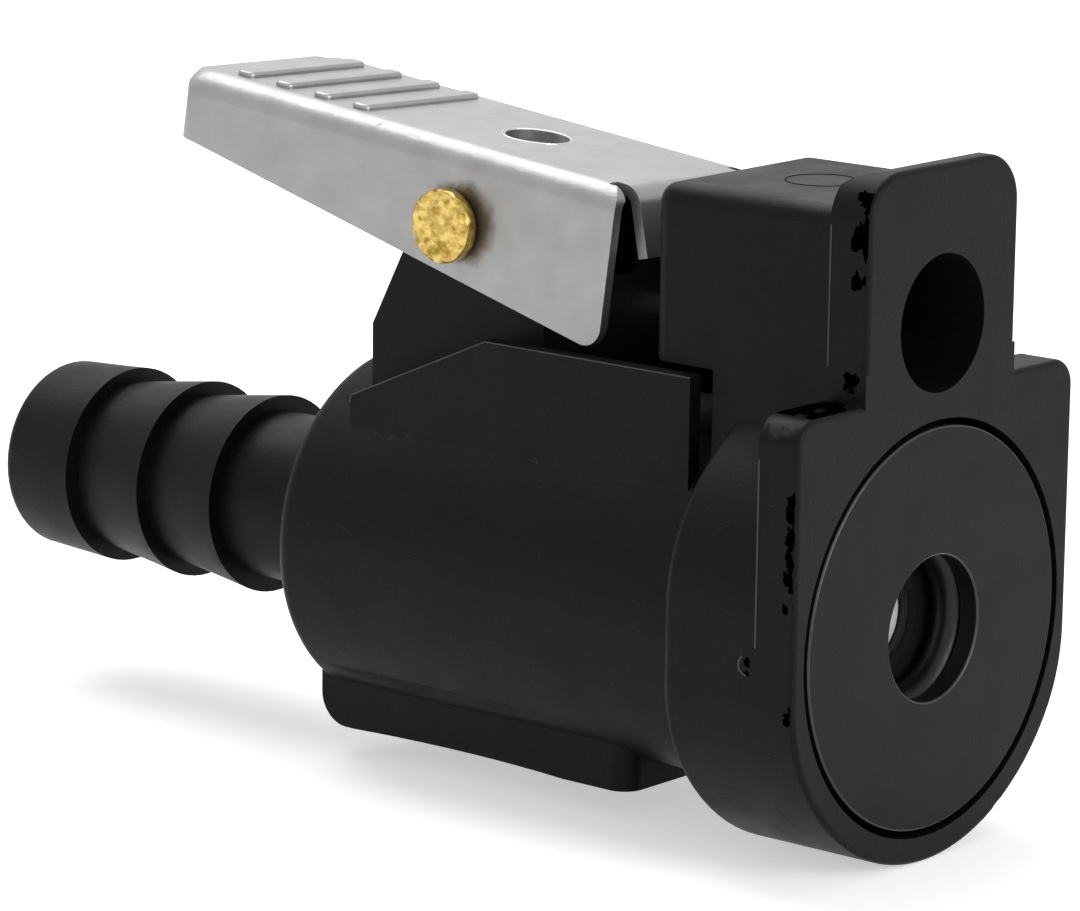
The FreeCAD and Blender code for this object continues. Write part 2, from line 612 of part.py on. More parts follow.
def make_ball():
    """The stainless check ball, resting on its O-ring."""
    ball = doc.addObject("Part::Sphere", "Ball")
    ball.Label = "check_ball"
    bind(ball, "Radius", BALL_R)
    place(ball, 0, BALL_Y, 0)
    PARTS.append(ball)
    return ball


def make_valve_spring():
    """The compression spring behind the ball."""
    body = part_body("valve_spring")
    coil_r = S["valve_coil"] / 2
    wire_r = S["valve_wire"] / 2
    touch = BALL_R + wire_r
    front = BALL_Y + root(touch * touch - coil_r * coil_r)
    back = S["chamber_end"] + S["spring_pocket"] - wire_r
    sketch = blank_sketch(body, "wire_section", "XZ_Plane")
    draw_circle(sketch, coil_r, 0, wire_r)
    helix = body.newObject("PartDesign::AdditiveHelix", "coil")
    helix.Profile = sketch
    helix.ReferenceAxis = (sketch, ["V_Axis"])
    helix.Mode = "height-turns-angle"
    bind(helix, "Height", back - front)
    bind(helix, "Turns", S["valve_turns"])
    body.Placement = FreeCAD.Placement(
        FreeCAD.Vector(), FreeCAD.Rotation(FreeCAD.Vector(1, 0, 0), -90))
    place(body, 0, front, 0)
    doc.recompute()
    return body


def lever_section(body, name, along, half_width, foot):
    """A section of the lever: a channel of bent sheet, open below."""
    rise = S["lever_rise"]
    sheet_thick = S["lever_thick"]
    bend = S["lever_bend"]
    inner_bend = bend - sheet_thick
    inner_x = half_width - sheet_thick
    inner_z = rise - sheet_thick
    sketch = blank_sketch(body, name, "XZ_Plane", -along)
    draw_outline(sketch, [
        (-half_width, foot), (-half_width, rise - bend, -bend), (-half_width + bend, rise),
        (half_width - bend, rise, -bend), (half_width, rise - bend), (half_width, foot),
        (inner_x, foot), (inner_x, rise - bend, inner_bend), (inner_x - inner_bend, inner_z),
        (-(inner_x - inner_bend), inner_z, inner_bend), (-inner_x, rise - bend), (-inner_x, foot)])
    return sketch


def grip_outlines(sketch, half_length, half_width, corner):
    """The row of grip ribs seen from above, each a bar with rounded corners."""
    end = half_length - corner
    for rib in range(int(S["grip_count"].number)):
        middle = S["grip_first"] - (S["grip_width"] + S["grip_space"]) * rib
        low = middle - half_width
        high = middle + half_width
        draw_outline(sketch, [
            (-end, low), (end, low, corner), (half_length, low + corner),
            (half_length, high - corner, corner), (end, high), (-end, high, corner),
            (-half_length, high - corner), (-half_length, low + corner, corner)])


def make_lever():
    """The stamped release lever, made in its own frame with the hinge at the origin."""
    body = part_body("release_lever")
    nose = lever_section(body, "nose_section", -S["nose_reach"], S["nose_width"] / 2,
                         -S["nose_drop"])
    tail = lever_section(body, "tail_section", S["tail_reach"], S["tail_width"] / 2,
                         S["tail_rise"])
    loft = body.newObject("PartDesign::AdditiveLoft", "channel")
    loft.Profile = nose
    loft.Sections = [tail]
    loft.Ruled = True
    doc.recompute()

    # The flanges' four corners are rounded where their sloping foot meets the ends.
    length = S["nose_reach"] + S["tail_reach"]
    climb = S["nose_drop"] + S["tail_rise"]
    slant = root(length * length + climb * climb)
    nose_cut = S["flange_round"] * (slant + climb) / length
    tail_cut = S["flange_round"] * (slant - climb) / length
    nose_y = -S["nose_reach"]
    nose_z = -S["nose_drop"]
    cut_y = nose_y + nose_cut * length / slant
    cut_z = nose_z + nose_cut * climb / slant
    sketch = blank_sketch(body, "nose_corner_outline", "YZ_Plane")
    draw_outline(sketch, [
        (nose_y, nose_z + nose_cut, S["flange_round"]), (cut_y, cut_z),
        (cut_y, nose_z - OVERSHOOT), (nose_y - OVERSHOOT, nose_z - OVERSHOOT),
        (nose_y - OVERSHOOT, nose_z + nose_cut)])
    cut(body, "nose_corners", sketch, S["tail_width"] * 2, both=True)
    cut_y = S["tail_reach"] - tail_cut * length / slant
    cut_z = S["tail_rise"] - tail_cut * climb / slant
    sketch = blank_sketch(body, "tail_corner_outline", "YZ_Plane")
    draw_outline(sketch, [
        (cut_y, cut_z, S["flange_round"]), (S["tail_reach"], S["tail_rise"] + tail_cut),
        (S["tail_reach"] + OVERSHOOT, S["tail_rise"] + tail_cut),
        (S["tail_reach"] + OVERSHOOT, cut_z - OVERSHOOT), (cut_y, cut_z - OVERSHOOT)])
    cut(body, "tail_corners", sketch, S["tail_width"] * 2, both=True)

    # The flanges' upper front corners, and the finger end's corners seen from above.
    corner = S["flange_round"]
    sketch = blank_sketch(body, "nose_top_outline", "YZ_Plane")
    draw_outline(sketch, [
        (nose_y + corner, S["lever_rise"], corner), (nose_y, S["lever_rise"] - corner),
        (nose_y - OVERSHOOT, S["lever_rise"] - corner),
        (nose_y - OVERSHOOT, S["lever_rise"] + OVERSHOOT),
        (nose_y + corner, S["lever_rise"] + OVERSHOOT)])
    cut(body, "nose_top_corners", sketch, S["tail_width"] * 2, both=True)
    corner = S["tail_round"]
    tail_x = S["tail_width"] / 2
    tail_y = S["tail_reach"]
    sketch = blank_sketch(body, "finger_corner_outline", "XY_Plane", S["lever_rise"] + OVERSHOOT)
    draw_outline(sketch, [
        (tail_x, tail_y - corner, corner), (tail_x - corner, tail_y),
        (tail_x - corner, tail_y + OVERSHOOT), (tail_x + OVERSHOOT, tail_y + OVERSHOOT),
        (tail_x + OVERSHOOT, tail_y - corner)])
    finger = cut(body, "finger_corner", sketch, S["lever_rise"] + OVERSHOOT * 2)
    mirrored(body, "other_finger_corner", [finger], "YZ_Plane")

    # The sheet is cut away behind the tongue, which leaves a relief notch on each side of it.
    half_notch = S["tongue_width"] / 2 + S["relief_side"]
    sketch = blank_sketch(body, "relief_outline", "XY_Plane", S["lever_rise"] - S["lever_bend"])
    draw_outline(sketch, rectangle(
        -half_notch, -(S["nose_reach"] + OVERSHOOT), half_notch,
        -(S["nose_reach"] - S["relief_depth"])))
    cut(body, "relief", sketch, S["lever_bend"] * 2, reverse=True)

    # The latch tongue bends down from the top sheet and catches the neck of the locating pin.
    turn = S["tongue_turn"]
    outer = S["tongue_bend"]
    inner = outer - S["lever_thick"]
    start = -S["tongue_start"]
    root_y = start + S["relief_depth"] + OVERSHOOT
    centre_z = S["lever_rise"] - outer
    bend_y = start - outer * sine(turn)
    bend_z = centre_z + outer * cosine(turn)
    tip_y = bend_y - S["tongue_length"] * cosine(turn)
    tip_z = bend_z - S["tongue_length"] * sine(turn)
    sketch = blank_sketch(body, "tongue_outline", "YZ_Plane")
    draw_outline(sketch, [
        (root_y, S["lever_rise"]), (start, S["lever_rise"], outer), (bend_y, bend_z),
        (tip_y, tip_z),
        (tip_y + S["lever_thick"] * sine(turn), tip_z - S["lever_thick"] * cosine(turn)),
        (start - inner * sine(turn), centre_z + inner * cosine(turn), -inner),
        (start, centre_z + inner), (root_y, centre_z + inner)])
    pad(body, "tongue", sketch, S["tongue_width"], both=True)
    pin_below = -((HINGE_Z - S["pin_rise"]) * cosine(TILT) - S["nose_reach"] * sine(TILT))
    sketch = blank_sketch(body, "fork_outline", "XZ_Plane", S["nose_reach"] - OVERSHOOT)
    draw_circle(sketch, 0, pin_below, S["fork_dia"] / 2)
    cut(body, "fork", sketch, S["tongue_length"] * 2, reverse=True)

    # The hinge holes stay on the rivet's axis, from which the pressing leans by its roll.
    holes = body.newObject("PartDesign::SubtractiveCylinder", "hinge_holes")
    bind(holes, "Radius", RIVET_R + S["rivet_play"])
    bind(holes, "Height", S["tail_width"] * 2)
    lean = S["lever_roll"]
    holes.Placement = FreeCAD.Placement(
        FreeCAD.Vector(), FreeCAD.Rotation(FreeCAD.Vector(0, 1, 0), 90 - lean.number))
    bind(holes, "Placement.Rotation.Angle", -lean + 90)
    place(holes, -(S["tail_width"] * cosine(lean)), 0, -(S["tail_width"] * sine(lean)))
    doc.recompute()

    # The round hole above the hinge.
    sketch = blank_sketch(body, "top_hole_outline", "XY_Plane", S["lever_rise"] + OVERSHOOT)
    draw_circle(sketch, 0, 0, S["top_hole"] / 2)
    cut(body, "top_hole", sketch, S["lever_thick"] + OVERSHOOT * 2)

    # The grip ribs are pressed up from below, so that each has its groove on the underside.
    rib_x = S["grip_length"] / 2
    rib_y = S["grip_width"] / 2
    wall = S["grip_wall"]
    rib_top = S["lever_rise"] + S["grip_height"]
    sketch = blank_sketch(body, "grip_outline", "XY_Plane", S["lever_rise"] - S["lever_thick"] / 2)
    grip_outlines(sketch, rib_x, rib_y, S["grip_corner"])
    pad(body, "grip_ribs", sketch, S["lever_thick"] / 2 + S["grip_height"])
    rounded(body, "grip_edges", S["grip_round"], lambda middle, box: (
        near(middle.z, rib_top) and box.ZLength < 0.01))
    sketch = blank_sketch(body, "groove_outline", "XY_Plane", S["lever_rise"] - S["lever_thick"])
    grip_outlines(sketch, rib_x - wall, rib_y - wall, S["grip_corner"] - wall)
    cut(body, "grip_grooves", sketch, S["grip_height"], reverse=True)
    tilt = FreeCAD.Rotation(FreeCAD.Vector(1, 0, 0), TILT.number)
    roll = FreeCAD.Rotation(FreeCAD.Vector(0, 1, 0), S["lever_roll"].number)
    body.Placement = FreeCAD.Placement(FreeCAD.Vector(), tilt * roll)
    place(body, 0, HINGE_Y, HINGE_Z)
    doc.recompute()
    return body


def make_pivot_rivet():
    """The brass rivet that the lever turns on, with a flat peened head at each end."""
    body = part_body("pivot_rivet")
    widen = (S["tail_width"] - S["nose_width"]) / 2 / (S["nose_reach"] + S["tail_reach"])
    inside = S["nose_width"] / 2 + widen * (S["nose_reach"] + S["rivet_head"] / 2) + S["head_gap"]
    outside = inside + S["rivet_head_thick"]
    head_r = S["rivet_head"] / 2
    sketch = blank_sketch(body, "rivet_outline", "XY_Plane")
    draw_outline(sketch, [
        (-outside, 0), (outside, 0), (outside, head_r), (inside, head_r), (inside, RIVET_R),
        (-inside, RIVET_R), (-inside, head_r), (-outside, head_r)])
    feature = body.newObject("PartDesign::Revolution", "rivet")
    feature.Profile = sketch
    feature.ReferenceAxis = (sketch, ["H_Axis"])
    feature.Angle = 360
    place(body, 0, HINGE_Y, HINGE_Z)
    doc.recompute()
    return body


def make_lever_spring():
    """The torsion spring on the rivet: one leg lifts the lever, the other rests in the slot."""
    body = part_body("lever_spring")
    coil_r = S["lever_coil"] / 2
    wire_r = S["lever_wire"] / 2
    sketch = blank_sketch(body, "wire_section", "XZ_Plane")
    draw_circle(sketch, coil_r, 0, wire_r)
    helix = body.newObject("PartDesign::AdditiveHelix", "coil")
    helix.Profile = sketch
    helix.ReferenceAxis = (sketch, ["V_Axis"])
    helix.Mode = "pitch-turns-angle"
    bind(helix, "Pitch", COIL_PITCH)
    bind(helix, "Turns", S["lever_turns"])
    doc.recompute()
    upper = blank_sketch(body, "upper_leg_section", "XZ_Plane")
    draw_circle(upper, coil_r, 0, wire_r)
    pad(body, "upper_leg", upper, S["upper_leg"])
    last_turn = (S["lever_turns"].number % 1) * 360
    lower = body.newObject("PartDesign::AdditiveCylinder", "lower_leg")
    bind(lower, "Radius", wire_r)
    bind(lower, "Height", S["lower_leg"])
    along = FreeCAD.Rotation(FreeCAD.Vector(0, 0, 1), last_turn)
    lower.Placement = FreeCAD.Placement(
        FreeCAD.Vector(), along * FreeCAD.Rotation(FreeCAD.Vector(1, 0, 0), -90))
    end_angle = S["lever_turns"] * 360
    place(lower, coil_r * cosine(end_angle), coil_r * sine(end_angle),
          COIL_PITCH * S["lever_turns"])
    doc.recompute()

    # The coil's own axis lies along X, with its upper leg pointing back and a little up.
    upright = FreeCAD.Rotation(
        FreeCAD.Vector(0, 0, 1), FreeCAD.Vector(0, -1, 0), FreeCAD.Vector(1, 0, 0), "ZXY")
    lift = FreeCAD.Rotation(FreeCAD.Vector(1, 0, 0), S["leg_lift"].number)
    body.Placement = FreeCAD.Placement(FreeCAD.Vector(), lift * upright)
    place(body, -(COIL_PITCH * S["lever_turns"] / 2), HINGE_Y, HINGE_Z)
    doc.recompute()
    return body


make_body()
make_front_cap()
make_ring("cap_seal", S["cap_ring"], S["cap_wire"], S["cap_thick"] - S["cap_wire"] / 2)
make_ring("nipple_o_ring", S["gland_dia"] - S["nipple_wire"], S["nipple_wire"],
          S["socket_lip"] + S["nipple_wire"] / 2)
make_valve_seat()
make_ring("seat_o_ring", S["seat_ring"], S["seat_wire"], SEAT_RING_Y)
make_ball()
make_valve_spring()
make_lever()
make_pivot_rivet()
make_lever_spring()
doc.recompute()

faults = [item.Name for item in doc.Objects if "Invalid" in item.State or "Error" in item.State]
if faults:
    raise RuntimeError("failed objects: " + ", ".join(faults))
os.makedirs("parts", exist_ok=True)
for item in PARTS:
    shape = item.Shape
    if shape.isNull() or not shape.isValid():
        raise RuntimeError(item.Label + " is not a valid shape")
    if len(shape.Solids) != 1:
        raise RuntimeError("%s has %d solids" % (item.Label, len(shape.Solids)))
    shape.exportStep("parts/%s.step" % item.Label)
    box = shape.BoundBox
    print("%-16s %9.2f mm3  x %.2f %.2f  y %.2f %.2f  z %.2f %.2f" % (
        item.Label, shape.Volume, box.XMin, box.XMax, box.YMin, box.YMax, box.ZMin, box.ZMax))
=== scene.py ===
# %% [markdown]
# # A sprung fuel line connector
#
# The real object is a small connector for an outboard engine's fuel line: a black moulded body
# with a barb for the hose, a sprung lever pressed from stainless sheet, a brass rivet that the
# lever turns on, and a socket in which an O-ring and a steel ball can be seen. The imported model
# holds every solid in its place, so this lesson only dresses it: it softens edges, adds the
# marks that moulding and riveting leave, and gives each piece a material.

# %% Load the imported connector
import math
import bmesh
import bpy
from mathutils import Matrix, Vector, noise


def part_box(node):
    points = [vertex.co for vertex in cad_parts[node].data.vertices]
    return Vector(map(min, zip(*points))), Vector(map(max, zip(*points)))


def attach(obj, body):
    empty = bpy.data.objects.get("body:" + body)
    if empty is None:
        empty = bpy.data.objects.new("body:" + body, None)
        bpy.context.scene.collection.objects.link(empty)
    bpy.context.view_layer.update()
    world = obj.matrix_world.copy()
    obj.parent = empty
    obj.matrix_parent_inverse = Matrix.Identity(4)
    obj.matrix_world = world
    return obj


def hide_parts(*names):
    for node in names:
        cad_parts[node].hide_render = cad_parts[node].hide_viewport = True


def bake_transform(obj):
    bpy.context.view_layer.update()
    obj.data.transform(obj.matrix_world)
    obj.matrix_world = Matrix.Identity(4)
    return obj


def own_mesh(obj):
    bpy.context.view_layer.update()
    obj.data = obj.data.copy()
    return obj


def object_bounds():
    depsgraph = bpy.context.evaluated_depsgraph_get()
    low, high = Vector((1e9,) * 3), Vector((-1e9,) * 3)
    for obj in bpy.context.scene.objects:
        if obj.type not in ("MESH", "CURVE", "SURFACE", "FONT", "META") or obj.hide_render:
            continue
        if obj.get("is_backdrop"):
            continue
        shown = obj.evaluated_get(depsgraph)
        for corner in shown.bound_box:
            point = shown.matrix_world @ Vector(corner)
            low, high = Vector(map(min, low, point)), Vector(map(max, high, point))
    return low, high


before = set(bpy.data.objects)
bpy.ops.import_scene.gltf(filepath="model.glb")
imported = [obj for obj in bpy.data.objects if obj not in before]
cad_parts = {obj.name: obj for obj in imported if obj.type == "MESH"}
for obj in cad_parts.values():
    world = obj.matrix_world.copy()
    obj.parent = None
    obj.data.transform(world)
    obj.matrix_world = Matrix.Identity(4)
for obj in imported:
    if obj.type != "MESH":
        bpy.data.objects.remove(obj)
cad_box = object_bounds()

MM = 0.001
print("nodes:", ", ".join(sorted(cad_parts)))

# %% [markdown]
# ## The camera
#
# The photograph was taken from the front left with a long lens, a little from above. The camera
# could be set by eye, but the round front plate and the straight edges of the body fix it much
# better, so its place and its three directions are the ones that put them on the photograph.

# %% Camera
lens_mm = 180.345
sensor_mm = 36
place = Vector((-0.21977, -0.15794, 0.06737))
right = Vector((0.64519752, -0.76389789, 0.01342313))
up = Vector((0.15350348, 0.14682181, 0.97717963))
back = Vector((-0.74843626, -0.62841338, 0.21199005))

camera_data = bpy.data.cameras.new("photo_camera")
camera_data.sensor_fit = "HORIZONTAL"
camera_data.sensor_width = sensor_mm
camera_data.lens = lens_mm
camera = bpy.data.objects.new("photo_camera", camera_data)
bpy.context.scene.collection.objects.link(camera)
turn = Matrix((right, up, back)).transposed().to_4x4()
camera.matrix_world = Matrix.Translation(place) @ turn
bpy.context.scene.camera = camera
print("camera %.0f mm from the socket" % (place.length / MM))

# %% [markdown]
# ## Colours and nodes
#
# Colours are written as sRGB hex values, the way a colour picker gives them, while the renderer
# works in linear light, so one function turns one into the other. A second small function adds
# any shader or geometry node with its settings and its links, which keeps each recipe readable.

# %% Helpers for materials


def linear(colour):
    """An sRGB hex colour as linear red, green, blue and alpha."""
    channels = [int(colour[index:index + 2], 16) / 255 for index in (1, 3, 5)]
    straight = [c / 12.92 if c <= 0.04045 else ((c + 0.055) / 1.055) ** 2.4 for c in channels]
    return (*straight, 1.0)


def add_node(tree, kind, settings=(), **inputs):
    """Add a node. Settings are its own properties; inputs are links or values by socket name."""
    node = tree.nodes.new(kind)
    for name, value in dict(settings).items():
        setattr(node, name, value)
    for name, value in inputs.items():
        key = int(name[1:]) if name[0] == "_" else name.replace("_", " ")
        socket = node.inputs[key]
        if isinstance(value, bpy.types.NodeSocket):
            tree.links.new(value, socket)
        else:
            socket.default_value = value
    return node


def new_material(name):
    """An empty node material, with its tree and the surface's own coordinates."""
    material = bpy.data.materials.new(name)
    material.use_nodes = True
    tree = material.node_tree
    tree.nodes.clear()
    coordinates = add_node(tree, "ShaderNodeTexCoord").outputs["Object"]
    return material, tree, coordinates


def finish_material(tree, shader):
    add_node(tree, "ShaderNodeOutputMaterial", Surface=shader.outputs[0])


def per_metre(size_mm):
    """How often a pattern of this size repeats in a metre, which is what a texture's scale is."""
    return 1 / (size_mm * MM)


def spot(tree, coordinates, centre, half, ragged_mm, share):
    """A ragged patch in an ellipsoid, in millimetres: 1 inside, broken up to about this share."""
    ragged = add_node(tree, "ShaderNodeTexNoise", Vector=coordinates, Scale=per_metre(ragged_mm),
                      Detail=4.0)
    swing_m = 1.2 * ragged_mm * MM
    shift = add_node(tree, "ShaderNodeVectorMath", {"operation": "MULTIPLY_ADD"},
                     _0=ragged.outputs["Color"], _1=(swing_m,) * 3, _2=coordinates)
    # The noise is 0.5 on average, so it carries the patch's middle by half the swing.
    middle_m = [value * MM + swing_m / 2 for value in centre]
    away = add_node(tree, "ShaderNodeVectorMath", {"operation": "SUBTRACT"}, _0=shift.outputs[0],
                    _1=middle_m)
    away = add_node(tree, "ShaderNodeVectorMath", {"operation": "DIVIDE"}, _0=away.outputs[0],
                    _1=[value * MM for value in half])
    away = add_node(tree, "ShaderNodeVectorMath", {"operation": "LENGTH"}, _0=away.outputs[0])
    inside = add_node(tree, "ShaderNodeMapRange", _0=away.outputs["Value"], _1=0.75, _2=1.0,
                      _3=1.0, _4=0.0)
    least = 0.72 - 0.45 * share
    kept = add_node(tree, "ShaderNodeMapRange", _0=ragged.outputs["Fac"], _1=least,
                    _2=least + 0.06, _3=0.0, _4=1.0)
    return add_node(tree, "ShaderNodeMath", {"operation": "MULTIPLY"}, _0=inside.outputs[0],
                    _1=kept.outputs[0]).outputs[0]


def with_spots(tree, coordinates, colour, rough, spots):
    """Lay ragged patches, each with its own colour and roughness, over a colour and a roughness."""
    for centre, half, ragged_mm, share, tint, gloss in spots:
        mask = spot(tree, coordinates, centre, half, ragged_mm, share)
        colour = add_node(tree, "ShaderNodeMix", {"data_type": "RGBA"}, _0=mask, _6=colour,
                          _7=linear(tint)).outputs[2]
        rough = add_node(tree, "ShaderNodeMix", {"data_type": "FLOAT"}, _0=mask, _2=rough,
                         _3=gloss).outputs[0]
    return colour, rough


print("grain of 0.2 mm has a scale of", round(per_metre(0.2)))

# %% [markdown]
# ## Floor, backdrop and light
#
# Small parts are photographed on white under large soft lamps. The floor is a plain pale plane
# that the connector stands on, and both it and the world are white to the camera. One large lamp
# hangs over the object and a little behind it, which draws a bright line along every upper edge.
# A weaker one stands in front, where it shines into the socket and onto the ball, and the
# weakest fills the side that faces the camera.

# %% Floor
floor_level = cad_box[0][2]
floor_half = 3.0
paper_glow = 0.5


def seen_directly(tree):
    """1 for what is seen itself, in a mirror or through glass, and 0 for light on the object."""
    path = add_node(tree, "ShaderNodeLightPath").outputs
    seen = add_node(tree, "ShaderNodeMath", {"operation": "ADD", "use_clamp": True},
                    _0=path["Is Camera Ray"], _1=path["Is Glossy Ray"])
    seen = add_node(tree, "ShaderNodeMath", {"operation": "ADD", "use_clamp": True},
                    _0=seen.outputs[0], _1=path["Is Transmission Ray"])
    return seen.outputs[0]


def floor_material():
    material, tree, coordinates = new_material("pale_studio_paper")
    fibre = add_node(tree, "ShaderNodeTexNoise", Vector=coordinates, Scale=per_metre(0.8), Detail=3.0)
    tint = add_node(tree, "ShaderNodeMix", {"data_type": "RGBA"}, _0=fibre.outputs["Fac"],
                    _6=linear("#f4f4f3"), _7=linear("#fafafa"))
    paper = add_node(tree, "ShaderNodeBsdfDiffuse", Color=tint.outputs[2])
    glow = add_node(tree, "ShaderNodeEmission", Color=linear("#ffffff"), Strength=paper_glow)
    both = add_node(tree, "ShaderNodeAddShader", _0=paper.outputs[0], _1=glow.outputs[0])
    mixed = add_node(tree, "ShaderNodeMixShader", _0=seen_directly(tree), _1=paper.outputs[0],
                     _2=both.outputs[0])
    finish_material(tree, mixed)
    return material


floor_mesh = bpy.data.meshes.new("floor")
floor_mesh.from_pydata([(x * floor_half, y * floor_half, floor_level)
                        for x, y in ((-1, -1), (1, -1), (1, 1), (-1, 1))], [], [(0, 1, 2, 3)])
floor = bpy.data.objects.new("floor", floor_mesh)
bpy.context.scene.collection.objects.link(floor)
floor_mesh.materials.append(floor_material())
floor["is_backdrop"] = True
print("floor at %.2f mm" % (floor_level / MM))

# %% World and lamps
room_light = 0.36
world = bpy.data.worlds.new("white_room")
world.use_nodes = True
bpy.context.scene.world = world
tree = world.node_tree
tree.nodes.clear()
dim = add_node(tree, "ShaderNodeBackground", Color=linear("#ffffff"), Strength=room_light)
white = add_node(tree, "ShaderNodeBackground", Color=linear("#ffffff"), Strength=1.0)
mixed = add_node(tree, "ShaderNodeMixShader", _0=seen_directly(tree), _1=dim.outputs[0],
                 _2=white.outputs[0])
add_node(tree, "ShaderNodeOutputWorld", Surface=mixed.outputs[0])


def lamp(name, position, target, width, watts):
    """A square soft lamp that faces a point."""
    data = bpy.data.lights.new(name, "AREA")
    data.shape = "SQUARE"
    data.size = width
    data.energy = watts
    item = bpy.data.objects.new(name, data)
    item.location = position
    item.rotation_euler = (Vector(position) - Vector(target)).to_track_quat("Z", "Y").to_euler()
    bpy.context.scene.collection.objects.link(item)


# Each lamp has its place and its width in metres and its strength in watts.
middle = (0.0, 0.03, 0.005)
lamps = {
    "overhead_lamp": ((0.12, 0.26, 0.50), 0.50, 2.5),
    "front_lamp": ((0.02, -0.60, 0.20), 0.40, 2.4),
    "side_fill": ((-0.55, -0.25, 0.30), 0.40, 0.25),
}
for lamp_name, (position, width, watts) in lamps.items():
    lamp(lamp_name, position, middle, width, watts)
print(len(lamps), "lamps and a white room")

# %% [markdown]
# ## Moulded black nylon
#
# The body and the front cap are injection moulded from black nylon filled with short glass
# fibre. The steel mould was spark eroded, so the skin is finely grained and nearly matt, with
# grey fibre ends just under it and faint flow marks where the melt ran. A plain black would look
# like a hole in the picture: the grain is what spreads the light. It also traps part of it, so
# the mirror part is set weaker than smooth nylon's. Edges are rubbed smoother and a little
# greyer, and their lighter grey also paints a highlight along every edge, so the bevelled edges
# get a second, closely related material.

# %% Nylon
flow_mark_mm = 6.0
# Fibre ends are about 0.01 mm thick. They are drawn ten times as coarse, to show at all.
fibre_end_mm = 0.11
uneven_shine_mm = 3.0


def nylon(name, dark, light, fibre_colour, roughness, mirror, grain_mm, grain_height_mm, spots=()):
    material, tree, coordinates = new_material(name)
    flow = add_node(tree, "ShaderNodeMapping", Vector=coordinates, Scale=(1.0, 0.35, 1.0))
    marks = add_node(tree, "ShaderNodeTexNoise", Vector=flow.outputs[0],
                     Scale=per_metre(flow_mark_mm), Detail=4.0, Roughness=0.55, Distortion=0.6)
    skin = add_node(tree, "ShaderNodeMix", {"data_type": "RGBA"}, _0=marks.outputs["Fac"],
                    _6=linear(dark), _7=linear(light))
    stretched = add_node(tree, "ShaderNodeMapping", Vector=coordinates, Scale=(1.0, 0.3, 1.0))
    fibres = add_node(tree, "ShaderNodeTexNoise", Vector=stretched.outputs[0],
                      Scale=per_metre(fibre_end_mm), Detail=2.0)
    ends = add_node(tree, "ShaderNodeMapRange", _0=fibres.outputs["Fac"], _1=0.66, _2=0.78,
                    _3=0.0, _4=0.55)
    colour = add_node(tree, "ShaderNodeMix", {"data_type": "RGBA"}, _0=ends.outputs[0],
                      _6=skin.outputs[2], _7=linear(fibre_colour))
    grain = add_node(tree, "ShaderNodeTexNoise", Vector=coordinates, Scale=per_metre(grain_mm),
                     Detail=5.0, Roughness=0.6)
    uneven = add_node(tree, "ShaderNodeTexNoise", Vector=coordinates,
                      Scale=per_metre(uneven_shine_mm), Detail=3.0)
    matt = add_node(tree, "ShaderNodeMapRange", _0=uneven.outputs["Fac"], _1=0.3, _2=0.7,
                    _3=roughness - 0.05, _4=roughness + 0.07)
    bump = add_node(tree, "ShaderNodeBump", Height=grain.outputs["Fac"], Strength=0.6,
                    Distance=grain_height_mm * MM)
    tint, gloss = with_spots(tree, coordinates, colour.outputs[2], matt.outputs[0], spots)
    shader = add_node(tree, "ShaderNodeBsdfPrincipled", Base_Color=tint, Roughness=gloss,
                      IOR=1.53, Specular_IOR_Level=mirror, Normal=bump.outputs[0])
    finish_material(tree, shader)
    return material


# A pale patch on the rounded top corner of the plate is a painted highlight, and handling left
# scuffs where the wings stand.
# Each patch has its centre, half sizes and raggedness in millimetres, the share of it that is
# kept, its colour and its roughness.
highlight_and_scuff_spots = [
    # Painted highlight on the rounded top corner of the plate.
    ((-11.5, 1.5, 12.1), (0.8, 1.1, 0.55), 0.5, 0.70, "#2b2b2c", 0.45),
    # Scuffs along the foot of the wing.
    ((-7.2, 24.0, 6.75), (1.2, 12.0, 0.28), 0.6, 0.25, "#262627", 0.50),
]
body_nylon = nylon("spark_textured_black_nylon", "#0b0b0c", "#131314", "#333336", roughness=0.44,
                   mirror=0.09, grain_mm=0.22, grain_height_mm=0.03, spots=highlight_and_scuff_spots)
# Rubbed edges, greyer from wear, whose lighter grey also paints a highlight along every edge.
edge_nylon_wear_and_highlight = nylon("rubbed_nylon_edge_and_painted_highlight", "#222224", "#2c2c2e", "#4a4a4b", roughness=0.32,
                   mirror=0.40, grain_mm=0.30, grain_height_mm=0.012, spots=highlight_and_scuff_spots)
cap_nylon = nylon("fine_moulded_black_nylon", "#121213", "#181819", "#38383a", roughness=0.42,
                  mirror=0.08, grain_mm=0.16, grain_height_mm=0.02)
# Trimmed flash on thin ridges, in a lighter grey that is also a painted highlight along their edges.
flash_and_highlight_nylon = nylon("trimmed_nylon_flash_and_painted_highlight", "#2e2e30", "#424244", "#606062", roughness=0.40,
                    mirror=0.30, grain_mm=0.30, grain_height_mm=0.010)
# A black film of painted shade, laid where shade falls: it takes the nylon's grain and reflects
# nothing.
painted_shade_film = nylon("painted_shade_black_film", "#010101", "#030303", "#0a0a0a", roughness=0.60,
                  mirror=0.0, grain_mm=0.30, grain_height_mm=0.010)
print("nylon finishes: body, edges, cap, flash, film")

# %% [markdown]
# ## Tumbled stainless sheet
#
# The lever is blanked and folded from stainless sheet, then tumbled with small stones to take
# the burrs off. That leaves a satin skin: short scratches in every direction, a few soft dings,
# and brighter, smoother edges. The springs are drawn wire, whose lines run along the wire, and
# the ball is lapped to an even, silky skin that gathers what light falls into the socket.

# %% Stainless


